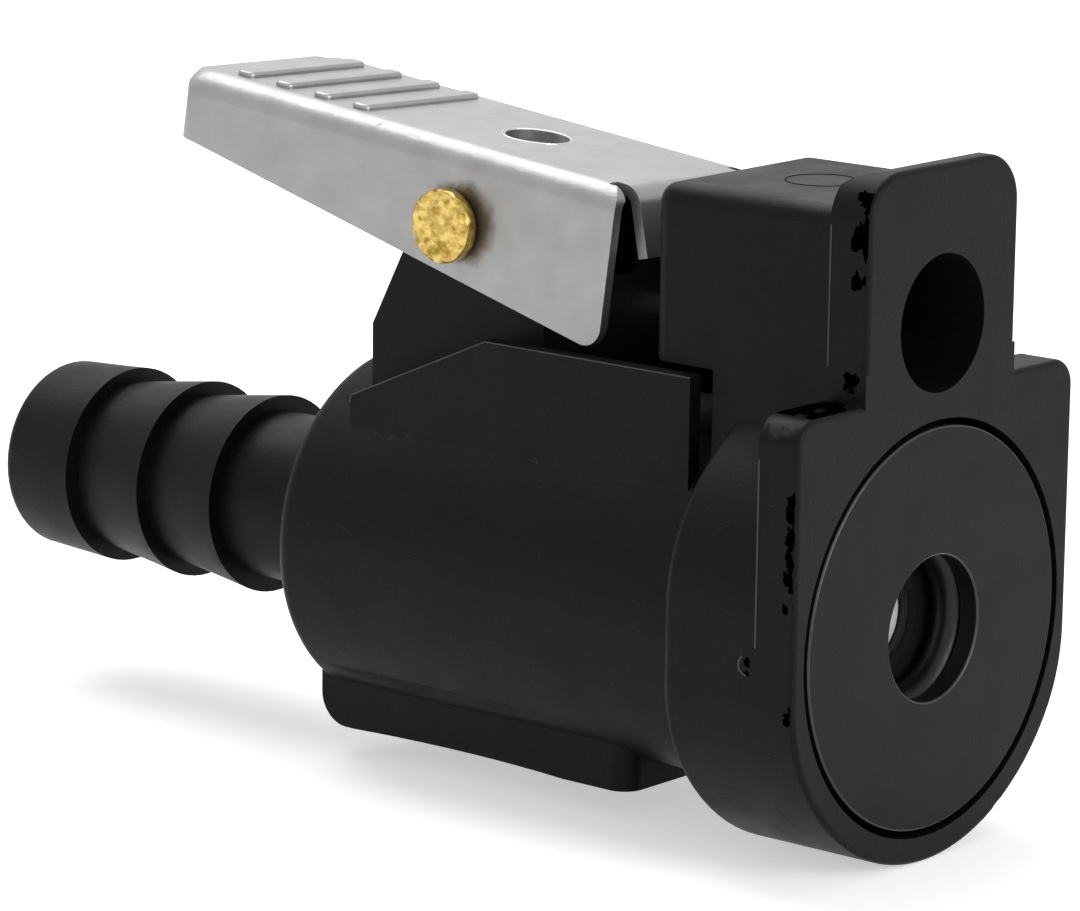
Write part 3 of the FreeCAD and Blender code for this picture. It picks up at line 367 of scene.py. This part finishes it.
def stainless(name, colour, worn_colour, roughness, scratch_mm, ding_mm, depth_mm, spots=()):
    material, tree, coordinates = new_material(name)
    first = add_node(tree, "ShaderNodeMapping", Vector=coordinates, Scale=(1.0, 0.12, 1.0))
    second = add_node(tree, "ShaderNodeMapping", Vector=coordinates, Scale=(0.15, 1.0, 1.0),
                      Rotation=(0.0, 0.0, 0.5))
    along = add_node(tree, "ShaderNodeTexNoise", Vector=first.outputs[0],
                     Scale=per_metre(scratch_mm), Detail=4.0, Roughness=0.6)
    across = add_node(tree, "ShaderNodeTexNoise", Vector=second.outputs[0],
                      Scale=per_metre(scratch_mm), Detail=4.0, Roughness=0.6)
    scratches = add_node(tree, "ShaderNodeMath", {"operation": "ADD"},
                         _0=along.outputs["Fac"], _1=across.outputs["Fac"])
    dings = add_node(tree, "ShaderNodeTexNoise", Vector=coordinates, Scale=per_metre(ding_mm),
                     Detail=2.0)
    height = add_node(tree, "ShaderNodeMath", {"operation": "MULTIPLY_ADD"},
                      _0=dings.outputs["Fac"], _1=3.0, _2=scratches.outputs[0])
    bump = add_node(tree, "ShaderNodeBump", Height=height.outputs[0], Strength=0.5,
                    Distance=depth_mm * MM)
    tint = add_node(tree, "ShaderNodeMix", {"data_type": "RGBA"}, _0=dings.outputs["Fac"],
                    _6=linear(colour), _7=linear(worn_colour))
    satin = add_node(tree, "ShaderNodeMapRange", _0=scratches.outputs[0], _1=0.7, _2=1.3,
                     _3=roughness - 0.06, _4=roughness + 0.08)
    colour, gloss = with_spots(tree, coordinates, tint.outputs[2], satin.outputs[0], spots)
    shader = add_node(tree, "ShaderNodeBsdfPrincipled", Base_Color=colour, Metallic=1.0,
                      Roughness=gloss, Normal=bump.outputs[0])
    finish_material(tree, shader)
    return material


# Fuel and salt water left a brown stain round the rivet and a few dark specks. The brown round
# the rivet also holds the head's shadow, painted on the sheet.
lever_stains_and_rivet_shadow = [
    # Brown stain and painted shadow round the rivet.
    ((-7.3, 26.9, 18.7), (2.5, 2.7, 2.6), 0.9, 0.92, "#67625a", 0.50),
    ((-7.3, 33.3, 23.2), (2.0, 0.25, 0.20), 0.3, 0.90, "#4a4844", 0.50),
    ((-7.3, 15.4, 10.9), (2.0, 0.28, 0.30), 0.3, 0.95, "#2c2a28", 0.50),
]
lever_steel = stainless("tumbled_stainless_sheet", "#8d8d8d", "#a4a4a2", roughness=0.42,
                        scratch_mm=0.18, ding_mm=2.2, depth_mm=0.006, spots=lever_stains_and_rivet_shadow)
edge_steel = stainless("bright_sheared_stainless_edge", "#cfcecc", "#dededb", roughness=0.24,
                       scratch_mm=0.25, ding_mm=1.5, depth_mm=0.004)
wire_steel = stainless("drawn_spring_wire", "#9d9a92", "#b3b0a8", roughness=0.30,
                       scratch_mm=0.12, ding_mm=0.6, depth_mm=0.004)
ball_steel = stainless("lapped_steel_ball", "#e2e1df", "#eae9e7", roughness=0.70,
                       scratch_mm=0.30, ding_mm=3.0, depth_mm=0.0005)
print("stainless finishes: sheet, edges, wire, ball")

# %% [markdown]
# ## Brass and rubber
#
# The rivet is bare brass, peened over with a hammer, so its heads carry small flat dents that
# flash one by one. The O-rings are black nitrile rubber, smooth from the mould and wet with a
# trace of oil, so they are as dark as the nylon but shine in narrow crescents.

# %% Brass
# The wave texture turns through this angle, in radians, in one unit of its scale.
wave_turn = 20


def brass(name, colour, dark, roughness, dent_mm, dent_depth_mm, wave_mm, stain_mm):
    material, tree, coordinates = new_material(name)
    dents = add_node(tree, "ShaderNodeTexVoronoi", {"feature": "SMOOTH_F1"}, Vector=coordinates,
                     Scale=per_metre(dent_mm), Smoothness=0.35)
    waves = add_node(tree, "ShaderNodeTexWave", {"wave_type": "RINGS", "rings_direction": "Y"},
                     Vector=coordinates, Scale=per_metre(wave_mm) * math.tau / wave_turn,
                     Distortion=0.4)
    relief = add_node(tree, "ShaderNodeMath", {"operation": "MULTIPLY_ADD"},
                      _0=waves.outputs["Fac"], _1=0.25, _2=dents.outputs["Distance"])
    bump = add_node(tree, "ShaderNodeBump", Height=relief.outputs[0], Strength=0.8,
                    Distance=dent_depth_mm * MM)
    stain = add_node(tree, "ShaderNodeTexNoise", Vector=coordinates, Scale=per_metre(stain_mm),
                     Detail=5.0)
    clean = add_node(tree, "ShaderNodeMapRange", _0=stain.outputs["Fac"], _1=0.34, _2=0.60,
                     _3=0.0, _4=1.0)
    tint = add_node(tree, "ShaderNodeMix", {"data_type": "RGBA"}, _0=clean.outputs[0],
                    _6=linear(dark), _7=linear(colour))
    worn = add_node(tree, "ShaderNodeMapRange", _0=stain.outputs["Fac"], _1=0.35, _2=0.65,
                    _3=roughness + 0.08, _4=roughness - 0.05)
    shader = add_node(tree, "ShaderNodeBsdfPrincipled", Base_Color=tint.outputs[2], Metallic=1.0,
                      Roughness=worn.outputs[0], Normal=bump.outputs[0])
    finish_material(tree, shader)
    return material


rivet_brass = brass("peened_brass", "#d2b668", "#94762f", roughness=0.28, dent_mm=0.45,
                    dent_depth_mm=0.07, wave_mm=2.513, stain_mm=0.45)


# %% Nitrile rubber
bloom_mm = 1.2
skin_mm = 0.15
skin_depth_mm = 0.008


def nitrile():
    material, tree, coordinates = new_material("oiled_black_nitrile")
    bloom = add_node(tree, "ShaderNodeTexNoise", Vector=coordinates, Scale=per_metre(bloom_mm),
                     Detail=4.0)
    tint = add_node(tree, "ShaderNodeMix", {"data_type": "RGBA"}, _0=bloom.outputs["Fac"],
                    _6=linear("#050506"), _7=linear("#0c0c0d"))
    skin = add_node(tree, "ShaderNodeTexNoise", Vector=coordinates, Scale=per_metre(skin_mm),
                    Detail=3.0)
    bump = add_node(tree, "ShaderNodeBump", Height=skin.outputs["Fac"], Strength=0.3,
                    Distance=skin_depth_mm * MM)
    gloss = add_node(tree, "ShaderNodeMapRange", _0=bloom.outputs["Fac"], _1=0.3, _2=0.7,
                     _3=0.34, _4=0.46)
    shader = add_node(tree, "ShaderNodeBsdfPrincipled", Base_Color=tint.outputs[2],
                      Roughness=gloss.outputs[0], IOR=1.52, Specular_IOR_Level=0.25,
                      Coat_Weight=0.06, Coat_Roughness=0.20, Normal=bump.outputs[0])
    finish_material(tree, shader)
    return material


rubber = nitrile()
print("brass and rubber ready")

# %% [markdown]
# ## Finishes for the solids that stay
#
# O-rings, valve seat and ball already have their exact shape, so they stay as they are and only
# take a finish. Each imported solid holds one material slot, which is filled here.

# %% Dress the solids
finishes = {
    "cap_seal": rubber,
    "nipple_o_ring": rubber,
    "seat_o_ring": rubber,
    "check_ball": ball_steel,
    "valve_seat": cap_nylon,
}
for node, finish in finishes.items():
    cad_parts[node].material_slots[0].material = finish
print("dressed", len(finishes), "solids")

# %% [markdown]
# ## Softened edges
#
# A moulded or tumbled edge is never quite sharp: it has a radius of a tenth of a millimetre or
# so, and that thin curve is what catches the lamp and tells the eye where a face ends. The solids
# are copied, their loose triangles are merged into whole faces, and every edge that turns by more
# than a set angle is bevelled. The bevel's faces take the second material of the piece.

# %% Bevelled copies
merge_mm = 0.001
flat_degrees = 0.6
edge_degrees = 35


def finish_piece(item, node, body):
    """Let a finished piece ride on its body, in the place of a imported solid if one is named."""
    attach(item, body)
    if node:
        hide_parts(node)


def merged_mesh(node):
    """The solid's faces merged into whole flat faces, with the imported normals left behind."""
    grid = bmesh.new()
    grid.from_mesh(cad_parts[node].data)
    bmesh.ops.remove_doubles(grid, verts=grid.verts, dist=merge_mm * MM)
    bmesh.ops.dissolve_limit(grid, angle_limit=math.radians(flat_degrees), verts=grid.verts,
                             edges=grid.edges)
    mesh = bpy.data.meshes.new(node + "_merged")
    grid.to_mesh(mesh)
    grid.free()
    for layer in ("custom_normal", "sharp_face", "sharp_edge"):
        if layer in mesh.attributes:
            mesh.attributes.remove(mesh.attributes[layer])
    mesh.polygons.foreach_set("use_smooth", [True] * len(mesh.polygons))
    return mesh


def softened(name, node, width_mm, materials, shape=None):
    """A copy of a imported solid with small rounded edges, as one plain mesh."""
    mesh = merged_mesh(node)
    if shape:
        shape(mesh)
    mesh.materials.clear()
    for item in materials:
        mesh.materials.append(item)
    mesh.set_sharp_from_angle(angle=math.radians(edge_degrees))
    item = bpy.data.objects.new(name, mesh)
    bpy.context.scene.collection.objects.link(item)
    bevel = item.modifiers.new("edge", "BEVEL")
    bevel.width = width_mm * MM
    bevel.segments = 2
    bevel.limit_method = "ANGLE"
    bevel.angle_limit = math.radians(edge_degrees)
    bevel.use_clamp_overlap = True
    bevel.miter_outer = "MITER_ARC"
    bevel.material = len(materials) - 1
    weights = item.modifiers.new("normals", "WEIGHTED_NORMAL")
    weights.keep_sharp = True
    evaluated = item.evaluated_get(bpy.context.evaluated_depsgraph_get())
    plain = bpy.data.meshes.new_from_object(evaluated)
    item.modifiers.clear()
    item.data = plain
    plain.name = name
    print("%s: %d faces" % (name, len(plain.polygons)))
    return item


body_piece = softened("moulded_body", "connector_body", 0.12, [body_nylon, edge_nylon_wear_and_highlight])
finish_piece(body_piece, "connector_body", "housing")
cap_piece = softened("moulded_front_cap", "front_cap", 0.10, [cap_nylon, edge_nylon_wear_and_highlight])
finish_piece(cap_piece, "front_cap", "housing")

# %% [markdown]
# ## The lever's drooped corners
#
# At the finger end the two upper corners of the lever droop in a soft round. A bevel would cut
# them evenly, while the real ones sink more and more towards the end, so the mesh is cut into
# narrow strips there and a rule lowers its points.

# %% Drooped corners
finger_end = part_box("release_lever")[1][1] / MM
corner_mm = 1.8
cut_shares = (0.08, 0.2, 0.35, 0.5, 0.7, 1.0)
cut_widths = (4.6, 5.1, 5.5, 5.9)
# The crest is the highest point this near the end.
crest_reach = 2.5
# The droop starts at this distance from the middle and is whole after this much more.
droop_start = 4.4
droop_width = 1.8
# It starts this far below the crest and is whole this much higher.
droop_foot = 4.2
droop_height = 3.4
# The round stops short of where it would stand upright.
steepest = 0.97


def droop_finger_corners(mesh):
    """Let the two upper corners of the lever's finger end droop in a round, as pressing does."""
    grid = bmesh.new()
    grid.from_mesh(mesh)
    cuts = [((0, (finger_end - corner_mm * share) * MM, 0), (0, 1, 0)) for share in cut_shares]
    cuts += [((side * across * MM, 0, 0), (1, 0, 0)) for side in (-1, 1) for across in cut_widths]
    for place_of_cut, direction in cuts:
        bmesh.ops.bisect_plane(grid, geom=grid.verts[:] + grid.edges[:] + grid.faces[:],
                               plane_co=place_of_cut, plane_no=direction, dist=0.00001 * MM)
    crest = max(vertex.co.z for vertex in grid.verts
                if vertex.co.y > (finger_end - crest_reach) * MM) / MM
    for vertex in grid.verts:
        past = min(vertex.co.y / MM - (finger_end - corner_mm), corner_mm)
        if past <= 0:
            continue
        drop = corner_mm - math.sqrt(corner_mm ** 2 - min(past, steepest * corner_mm) ** 2)
        sideways = min(max((abs(vertex.co.x) / MM - droop_start) / droop_width, 0), 1)
        height = min(max((vertex.co.z / MM - (crest - droop_foot)) / droop_height, 0), 1)
        vertex.co.z -= drop * sideways * height * MM
    grid.to_mesh(mesh)
    grid.free()


lever_piece = softened("pressed_lever", "release_lever", 0.10, [lever_steel, edge_steel],
                       droop_finger_corners)
finish_piece(lever_piece, "release_lever", "lever")

# %% [markdown]
# ## The two springs
#
# Two parts change their shape as the connector works. The coil spring behind the ball gets
# shorter as the ball is pushed in, and the torsion spring keeps its coil on the rivet while its
# upper leg follows the lever. Copies of the two solids take their places, in spring wire: the
# coil spring's copy rides on the housing, and the torsion spring's copy stays where it stands.

# %% Two springs
wire_degrees = 40


def spring_copy(name, node):
    """A copy of a spring's solid in spring wire, in the place of that solid."""
    mesh = merged_mesh(node)
    mesh.materials.clear()
    mesh.materials.append(wire_steel)
    mesh.set_sharp_from_angle(angle=math.radians(wire_degrees))
    item = bpy.data.objects.new(name, mesh)
    bpy.context.scene.collection.objects.link(item)
    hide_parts(node)
    return item


# The ball travels 4.0 mm.
coil_spring = spring_copy("ball_coil_spring", "valve_spring")
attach(coil_spring, "housing")
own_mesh(coil_spring)
torsion_spring = spring_copy("lever_torsion_spring", "lever_spring")
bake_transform(torsion_spring)

# %% [markdown]
# ## The peened rivet
#
# The rivet's shank is hidden, but both of its heads show, and they are no turned discs: a hammer
# spread them, so the rim is a little uneven and the face is a field of shallow flats. Geometry
# Nodes can make such a face by a rule: a disc of small cells, each pushed in by its own amount,
# in a pattern that comes out the same each time.

# %% Rivet by a rule


def turned_solid(name, outline, segments):
    """A closed solid of revolution about X from (x, radius) pairs in millimetres, axis to axis."""
    grid = bmesh.new()
    rings = []
    for x, radius in outline:
        if radius == 0:
            rings.append([grid.verts.new((x * MM, 0, 0))])
            continue
        rings.append([grid.verts.new((
            x * MM, radius * MM * math.cos(math.tau * step / segments),
            radius * MM * math.sin(math.tau * step / segments))) for step in range(segments)])
    for low, high in zip(rings, rings[1:]):
        for step in range(segments):
            after = (step + 1) % segments
            corners = [low[step % len(low)], high[step % len(high)], high[after % len(high)],
                       low[after % len(low)]]
            corners = [vertex for index, vertex in enumerate(corners)
                       if vertex not in corners[:index]]
            grid.faces.new(corners)
    bmesh.ops.recalc_face_normals(grid, faces=grid.faces)
    mesh = bpy.data.meshes.new(name)
    grid.to_mesh(mesh)
    grid.free()
    return mesh


rivet_low, rivet_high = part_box("pivot_rivet")
rivet_half = rivet_high[0] / MM
rivet_head_r = (rivet_high[2] - rivet_low[2]) / 2 / MM
rivet_centre = Vector((0, (rivet_low[1] + rivet_high[1]) / 2, (rivet_low[2] + rivet_high[2]) / 2))
head_thick = 0.9
shank_r = 1.3
rim_round = 0.16
crown = 0.02
face_rings = 24
round_steps = 96
outline = [(-rivet_half, 0)]
outline += [(-rivet_half + crown * share ** 3, (rivet_head_r - rim_round) * share)
            for share in [step / face_rings for step in range(1, face_rings + 1)]]
outline += [(-rivet_half + 0.10, rivet_head_r - 0.05), (-rivet_half + 0.25, rivet_head_r),
            (-rivet_half + head_thick - 0.12, rivet_head_r - 0.02),
            (-rivet_half + head_thick, rivet_head_r - rim_round),
            (-rivet_half + head_thick, shank_r)]
outline += [(-x, radius) for x, radius in reversed(outline)]
rivet = bpy.data.objects.new("peened_rivet", turned_solid("peened_rivet", outline, round_steps))
bpy.context.scene.collection.objects.link(rivet)


def new_rule(name, inputs):
    """A geometry tree that takes a geometry and the named inputs, and the sockets they come from."""
    tree = bpy.data.node_groups.new(name, "GeometryNodeTree")
    for label, kind in {"Geometry": "NodeSocketGeometry", **inputs}.items():
        tree.interface.new_socket(label, in_out="INPUT", socket_type=kind)
    tree.interface.new_socket("Geometry", in_out="OUTPUT", socket_type="NodeSocketGeometry")
    return tree, add_node(tree, "NodeGroupInput").outputs


def finish_rule(tree, shape, finish):
    """End a geometry tree with whole meshes, no instances, in one finish."""
    real = add_node(tree, "GeometryNodeRealizeInstances", Geometry=shape.outputs[0])
    painted = add_node(tree, "GeometryNodeSetMaterial", Geometry=real.outputs[0], Material=finish)
    add_node(tree, "NodeGroupOutput", _0=painted.outputs[0])
    return tree


blow_reach_mm = 0.5


def peening_tree():
    """Push the outer faces in by cells, as hammer blows do."""
    tree, given = new_rule("peened_heads", {
        "Blow Size": "NodeSocketFloat", "Depth": "NodeSocketFloat",
        "Half Length": "NodeSocketFloat", "Finish": "NodeSocketMaterial"})
    position = add_node(tree, "GeometryNodeInputPosition").outputs[0]
    parts = add_node(tree, "ShaderNodeSeparateXYZ", _0=position).outputs
    reach = add_node(tree, "ShaderNodeMath", {"operation": "ABSOLUTE"}, _0=parts[0])
    near_face = add_node(tree, "ShaderNodeMath", {"operation": "SUBTRACT"},
                         _0=given["Half Length"], _1=reach.outputs[0])
    held = add_node(tree, "ShaderNodeMapRange", _0=near_face.outputs[0], _1=0.0,
                    _2=blow_reach_mm * MM, _3=1.0, _4=0.0)
    size = add_node(tree, "ShaderNodeMath", {"operation": "DIVIDE"}, _0=1.0, _1=given["Blow Size"])
    cells = add_node(tree, "ShaderNodeTexVoronoi", {"feature": "F1"}, Vector=position,
                     Scale=size.outputs[0], Randomness=0.9)
    tone = add_node(tree, "ShaderNodeSeparateXYZ", _0=cells.outputs["Color"]).outputs
    side = add_node(tree, "ShaderNodeMath", {"operation": "SIGN"}, _0=parts[0])
    inward = add_node(tree, "ShaderNodeMath", {"operation": "SUBTRACT"}, _0=1.0,
                      _1=cells.outputs["Distance"])
    for factor in (tone[0], held.outputs[0], given["Depth"], side.outputs[0], -1.0):
        inward = add_node(tree, "ShaderNodeMath", {"operation": "MULTIPLY"},
                          _0=inward.outputs[0], _1=factor)
    offset = add_node(tree, "ShaderNodeCombineXYZ", _0=inward.outputs[0])
    moved = add_node(tree, "GeometryNodeSetPosition", Geometry=given["Geometry"],
                     Offset=offset.outputs[0])
    return finish_rule(tree, moved, given["Finish"])


def run_tree(item, tree, values):
    """Give an object a geometry tree with its inputs set, and keep the result as a plain mesh."""
    modifier = item.modifiers.new("rule", "NODES")
    modifier.node_group = tree
    for socket in tree.interface.items_tree:
        if socket.in_out == "INPUT" and socket.name in values:
            modifier[socket.identifier] = values[socket.name]
    evaluated = item.evaluated_get(bpy.context.evaluated_depsgraph_get())
    return bpy.data.meshes.new_from_object(evaluated)


dent_degrees = 28
peened = run_tree(rivet, peening_tree(), {
    "Blow Size": 0.70 * MM, "Depth": 0.20 * MM, "Half Length": rivet_half * MM,
    "Finish": rivet_brass})
rivet.modifiers.clear()
rivet.data = peened
peened.transform(Matrix.Translation(rivet_centre))
peened.polygons.foreach_set("use_smooth", [True] * len(peened.polygons))
peened.set_sharp_from_angle(angle=math.radians(dent_degrees))
finish_piece(rivet, "pivot_rivet", "housing")
print("rivet: %d faces" % len(peened.polygons))

# %% [markdown]
# ## The parting line
#
# Where the two halves of the mould met, a hair of plastic crept between them. On the sides of
# the front plate it shows as a fine bright line. A real ridge of a few hundredths of a millimetre
# catches the lamp, and its lighter grey nylon also paints a highlight on it, so the body is cut
# at that plane, the outer loop of the cut becomes a curve, and a tiny section is swept along it
# by Geometry Nodes. It shows only on the upright sides: elsewhere it was trimmed away.

# %% Parting line by a sweep
parting_y = 2.42
ridge_mm = 0.05
visible_mm = ((0.7, 10.6), (14.2, 21.6))
steps_between = 40


def section_loop(node, y_mm):
    """The longest closed loop in which a plane square to Y cuts a solid, as points in order."""
    grid = bmesh.new()
    grid.from_mesh(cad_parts[node].data)
    bmesh.ops.remove_doubles(grid, verts=grid.verts, dist=merge_mm * MM)
    sliced = bmesh.ops.bisect_plane(
        grid, geom=grid.verts[:] + grid.edges[:] + grid.faces[:], plane_co=(0, y_mm * MM, 0),
        plane_no=(0, 1, 0), dist=0.0001 * MM)
    links = {}
    for edge in sliced["geom_cut"]:
        if isinstance(edge, bmesh.types.BMEdge):
            first, second = edge.verts
            links.setdefault(first, []).append(second)
            links.setdefault(second, []).append(first)
    loops = []
    left = set(links)
    while left:
        start = left.pop()
        loop = [start]
        while True:
            following = [vertex for vertex in links[loop[-1]] if vertex in left]
            if not following:
                break
            loop.append(following[0])
            left.remove(following[0])
        loops.append([vertex.co.copy() for vertex in loop])
    grid.free()
    return max(loops, key=lambda points: sum(
        (after - before).length for before, after in zip(points, points[1:])))


def sweep_tree():
    """Sweep a small round section along a curve."""
    tree, given = new_rule("moulding_ridge", {
        "Radius": "NodeSocketFloat", "Sides": "NodeSocketInt", "Finish": "NodeSocketMaterial"})
    section = add_node(tree, "GeometryNodeCurvePrimitiveCircle", Resolution=given["Sides"],
                       Radius=given["Radius"])
    swept = add_node(tree, "GeometryNodeCurveToMesh", Curve=given["Geometry"],
                     Profile_Curve=section.outputs[0], Fill_Caps=True)
    return finish_rule(tree, swept, given["Finish"])


ridge_rule = sweep_tree()


def ridge(name, lines, closed, radius_mm, finish):
    """A thin ridge along one or more lines of points, as a plain mesh."""
    data = bpy.data.curves.new(name, "CURVE")
    data.dimensions = "3D"
    for points in lines:
        spline = data.splines.new("POLY")
        spline.points.add(len(points) - 1)
        for point, place_on_line in zip(spline.points, points):
            point.co = (*place_on_line, 1.0)
        spline.use_cyclic_u = closed
    path = bpy.data.objects.new(name + "_path", data)
    bpy.context.scene.collection.objects.link(path)
    mesh = run_tree(path, ridge_rule, {"Radius": radius_mm * MM, "Sides": 8, "Finish": finish})
    bpy.data.objects.remove(path)
    mesh.polygons.foreach_set("use_smooth", [True] * len(mesh.polygons))
    item = bpy.data.objects.new(name, mesh)
    bpy.context.scene.collection.objects.link(item)
    print("%s: %d faces" % (name, len(mesh.polygons)))
    return item


loop = section_loop("connector_body", parting_y)
dense = [before.lerp(after, step / steps_between)
         for before, after in zip(loop, loop[1:] + loop[:1]) for step in range(steps_between)]
runs = [sorted((point for point in dense if point.x * side > 0 and low * MM < point.z < high * MM),
               key=lambda point: point.z) for side in (-1, 1) for low, high in visible_mm]
parting = ridge("parting_line", runs, False, ridge_mm, flash_and_highlight_nylon)
finish_piece(parting, None, "housing")

# %% [markdown]
# ## Marks of the mould
#
# The melt entered at a pin gate on the side of the plate, which left a small raised crescent by
# a torn spot, and a round ejector pin pushed the part out from the top of the block, which left
# a hair-thin circle. The circle is drawn as a black ring of painted shade. The top edges of the
# wings carry a hair of flash too. The crescent and the flash are in a lighter grey that is partly
# a painted highlight. All of them are swept with the same rule as the parting line.

# %% Gate and ejector marks


def arc_points(centre, first, second, radius_mm, steps, share=1.0):
    """Points on a circle, or on a share of it that starts at the first direction."""
    turns = [math.tau * share * step / steps for step in range(steps)]
    return [Vector(centre) * MM + (Vector(first) * math.cos(turn) + Vector(second) * math.sin(turn))
            * radius_mm * MM for turn in turns]


plate_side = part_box("connector_body")[0][0] / MM
block_top = 22.42
gate_crescent = arc_points((plate_side, 2.95, -0.25), (0, 0, -1), (0, 1, 0), radius_mm=0.5,
                           steps=20, share=0.45)
gate = ridge("gate_mark", [gate_crescent], False, 0.06, flash_and_highlight_nylon)
finish_piece(gate, None, "housing")
ejector_circle = arc_points((0, 7.9, block_top), (1, 0, 0), (0, 1, 0), radius_mm=1.9, steps=64)
# Painted shade: the ejector pin's hair-thin groove, drawn as a black ring that reflects nothing.
ejector = ridge("ejector_mark", [ejector_circle], True, 0.03, painted_shade_film)
finish_piece(ejector, None, "housing")
# The wing's top edge, as distances back and up in millimetres.
wing_line = [(10.6, 12.7), (24.45, 12.7), (33.9, 8.5), (33.98, 8.1)]
wing_side = 7.2
wing_edges = [[Vector((side * wing_side, y, z)) * MM for y, z in wing_line] for side in (-1, 1)]
# The wing's flash, whose lighter grey also paints a highlight along the edge.
wing_flash = ridge("wing_flash", wing_edges, False, 0.04, flash_and_highlight_nylon)
finish_piece(wing_flash, None, "housing")

# %% [markdown]
# ## The burr of the lever's round hole
#
# A punch leaves the hole's upper rim slightly raised and bright, which draws a white ring round
# the hole in the photograph. The rim's own points give its centre and its slope, so the ring
# lies on the leaning sheet without any measured angle.

# %% Burr round the hole
hole_r = 1.75
burr_gap = 0.12
height_above = Vector((0, 0, 5))
search_half_x = 2.2
search_y = (25, 31)
near_hole = [vertex.co / MM for vertex in merged_mesh("release_lever").vertices
             if abs(vertex.co.x / MM) < search_half_x
             and search_y[0] < vertex.co.y / MM < search_y[1]]
hole_centre = sum(near_hole, Vector()) / len(near_hole)
above_rim = arc_points(hole_centre + height_above, (1, 0, 0), (0, 1, 0),
                       radius_mm=hole_r + burr_gap, steps=64)
rim = [lever_piece.ray_cast(point, (0, 0, -1))[1] for point in above_rim]
burr = ridge("hole_burr", [rim], True, 0.05, edge_steel)
finish_piece(burr, None, "lever")
print("hole at %.1f mm from the mating face" % hole_centre.y)

# %% [markdown]
# ## Painted shade
#
# Dark, ragged patches of painted shade lie where shade falls: on the front edges of the plate and
# the ear, on the top of the plate's shoulder and in the torn pit by the gate. They are made as
# films: a fine grid is laid over the place, the cells that a noise leaves out are removed, each
# point is dropped onto the nearest skin of the body, and the sheet is given a few hundredths of a
# millimetre of thickness.

# %% Painted shade on the body
lift_mm = 0.02
film_mm = 0.03
# How fast the noise's layers fade, how much finer each one is, and how many there are.
noise_layers = (1.0, 2.0, 3)


def shade_patch(name, start, first, second, cells, ragged_mm, share):
    """A ragged film of painted shade on the body, from a corner and two sides of a flat grid in
    millimetres.
    """
    grid = bmesh.new()
    across, along = cells
    corners = [[grid.verts.new((Vector(start) + Vector(first) * column / across
                                + Vector(second) * row / along) * MM)
                for row in range(along + 1)] for column in range(across + 1)]
    for column in range(across):
        for row in range(along):
            centre = (Vector(start) + Vector(first) * (column + 0.5) / across
                      + Vector(second) * (row + 0.5) / along)
            rim = max(abs(2 * (column + 0.5) / across - 1), abs(2 * (row + 0.5) / along - 1))
            level = noise.fractal(centre / ragged_mm, *noise_layers) + 0.5
            if level > 1.0 - share + 0.5 * rim ** 4:
                grid.faces.new((corners[column][row], corners[column + 1][row],
                                corners[column + 1][row + 1], corners[column][row + 1]))
    loose = [vertex for vertex in grid.verts if not vertex.link_faces]
    bmesh.ops.delete(grid, geom=loose, context="VERTS")
    for vertex in grid.verts:
        skin, normal = body_piece.closest_point_on_mesh(vertex.co)[1:3]
        vertex.co = skin + normal * lift_mm * MM
    bmesh.ops.recalc_face_normals(grid, faces=grid.faces)
    bmesh.ops.solidify(grid, geom=grid.faces[:], thickness=film_mm * MM)
    bmesh.ops.recalc_face_normals(grid, faces=grid.faces)
    mesh = bpy.data.meshes.new(name)
    grid.to_mesh(mesh)
    grid.free()
    mesh.materials.append(painted_shade_film)
    item = bpy.data.objects.new(name, mesh)
    bpy.context.scene.collection.objects.link(item)
    finish_piece(item, None, "housing")
    print("%s: %d faces" % (name, len(mesh.polygons)))


# Each patch of painted shade has a corner, two sides, the cells along them, its raggedness and the
# share kept. The gate pit is the shade in the torn spot by the gate's crescent.
shade_patches = {
    "ear_edge_painted_shade": ((-6.6, -0.05, 16.4), (0, 1.2, 0), (0, 0, 7.6), (15, 92), 1.25, 0.70),
    "ear_foot_painted_shade": ((-6.6, 0.1, 12.6), (0, 1.3, 0), (0, 0, 1.6), (16, 20), 0.9, 0.75),
    "shoulder_painted_shadow": ((-10.6, 0.1, 12.7), (4.1, 0, 0), (0, 2.3, 0), (48, 28), 1.3, 1.0),
    "plate_edge_painted_shade": ((-12.0, 0.0, 2.6), (0, 0.75, 0), (0, 0, 6.4), (9, 78), 0.7, 0.60),
    "plate_foot_painted_shade": ((-12.0, 0.05, -3.0), (0, 0.55, 0), (0, 0, 1.3), (7, 16), 0.6, 0.70),
    "gate_pit": ((-12.0, 2.72, -0.75), (0, 0.42, 0), (0, 0, 0.95), (8, 18), 0.35, 0.75),
}
for patch_name, layout in shade_patches.items():
    shade_patch(patch_name, *layout)

# %% [markdown]
# ## Last look at the size
#
# Dressing a part must not make it bigger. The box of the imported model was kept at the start, and
# the box of the dressed one is written beside it, so that the two can be compared.

# %% Sizes and finish
scene = bpy.context.scene
scene.view_settings.view_transform = "Standard"
dressed_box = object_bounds()
for axis, name in enumerate("XYZ"):
    before = (cad_box[1][axis] - cad_box[0][axis]) / MM
    after = (dressed_box[1][axis] - dressed_box[0][axis]) / MM
    print("%s %.2f mm packed, %.2f mm dressed" % (name, before, after))
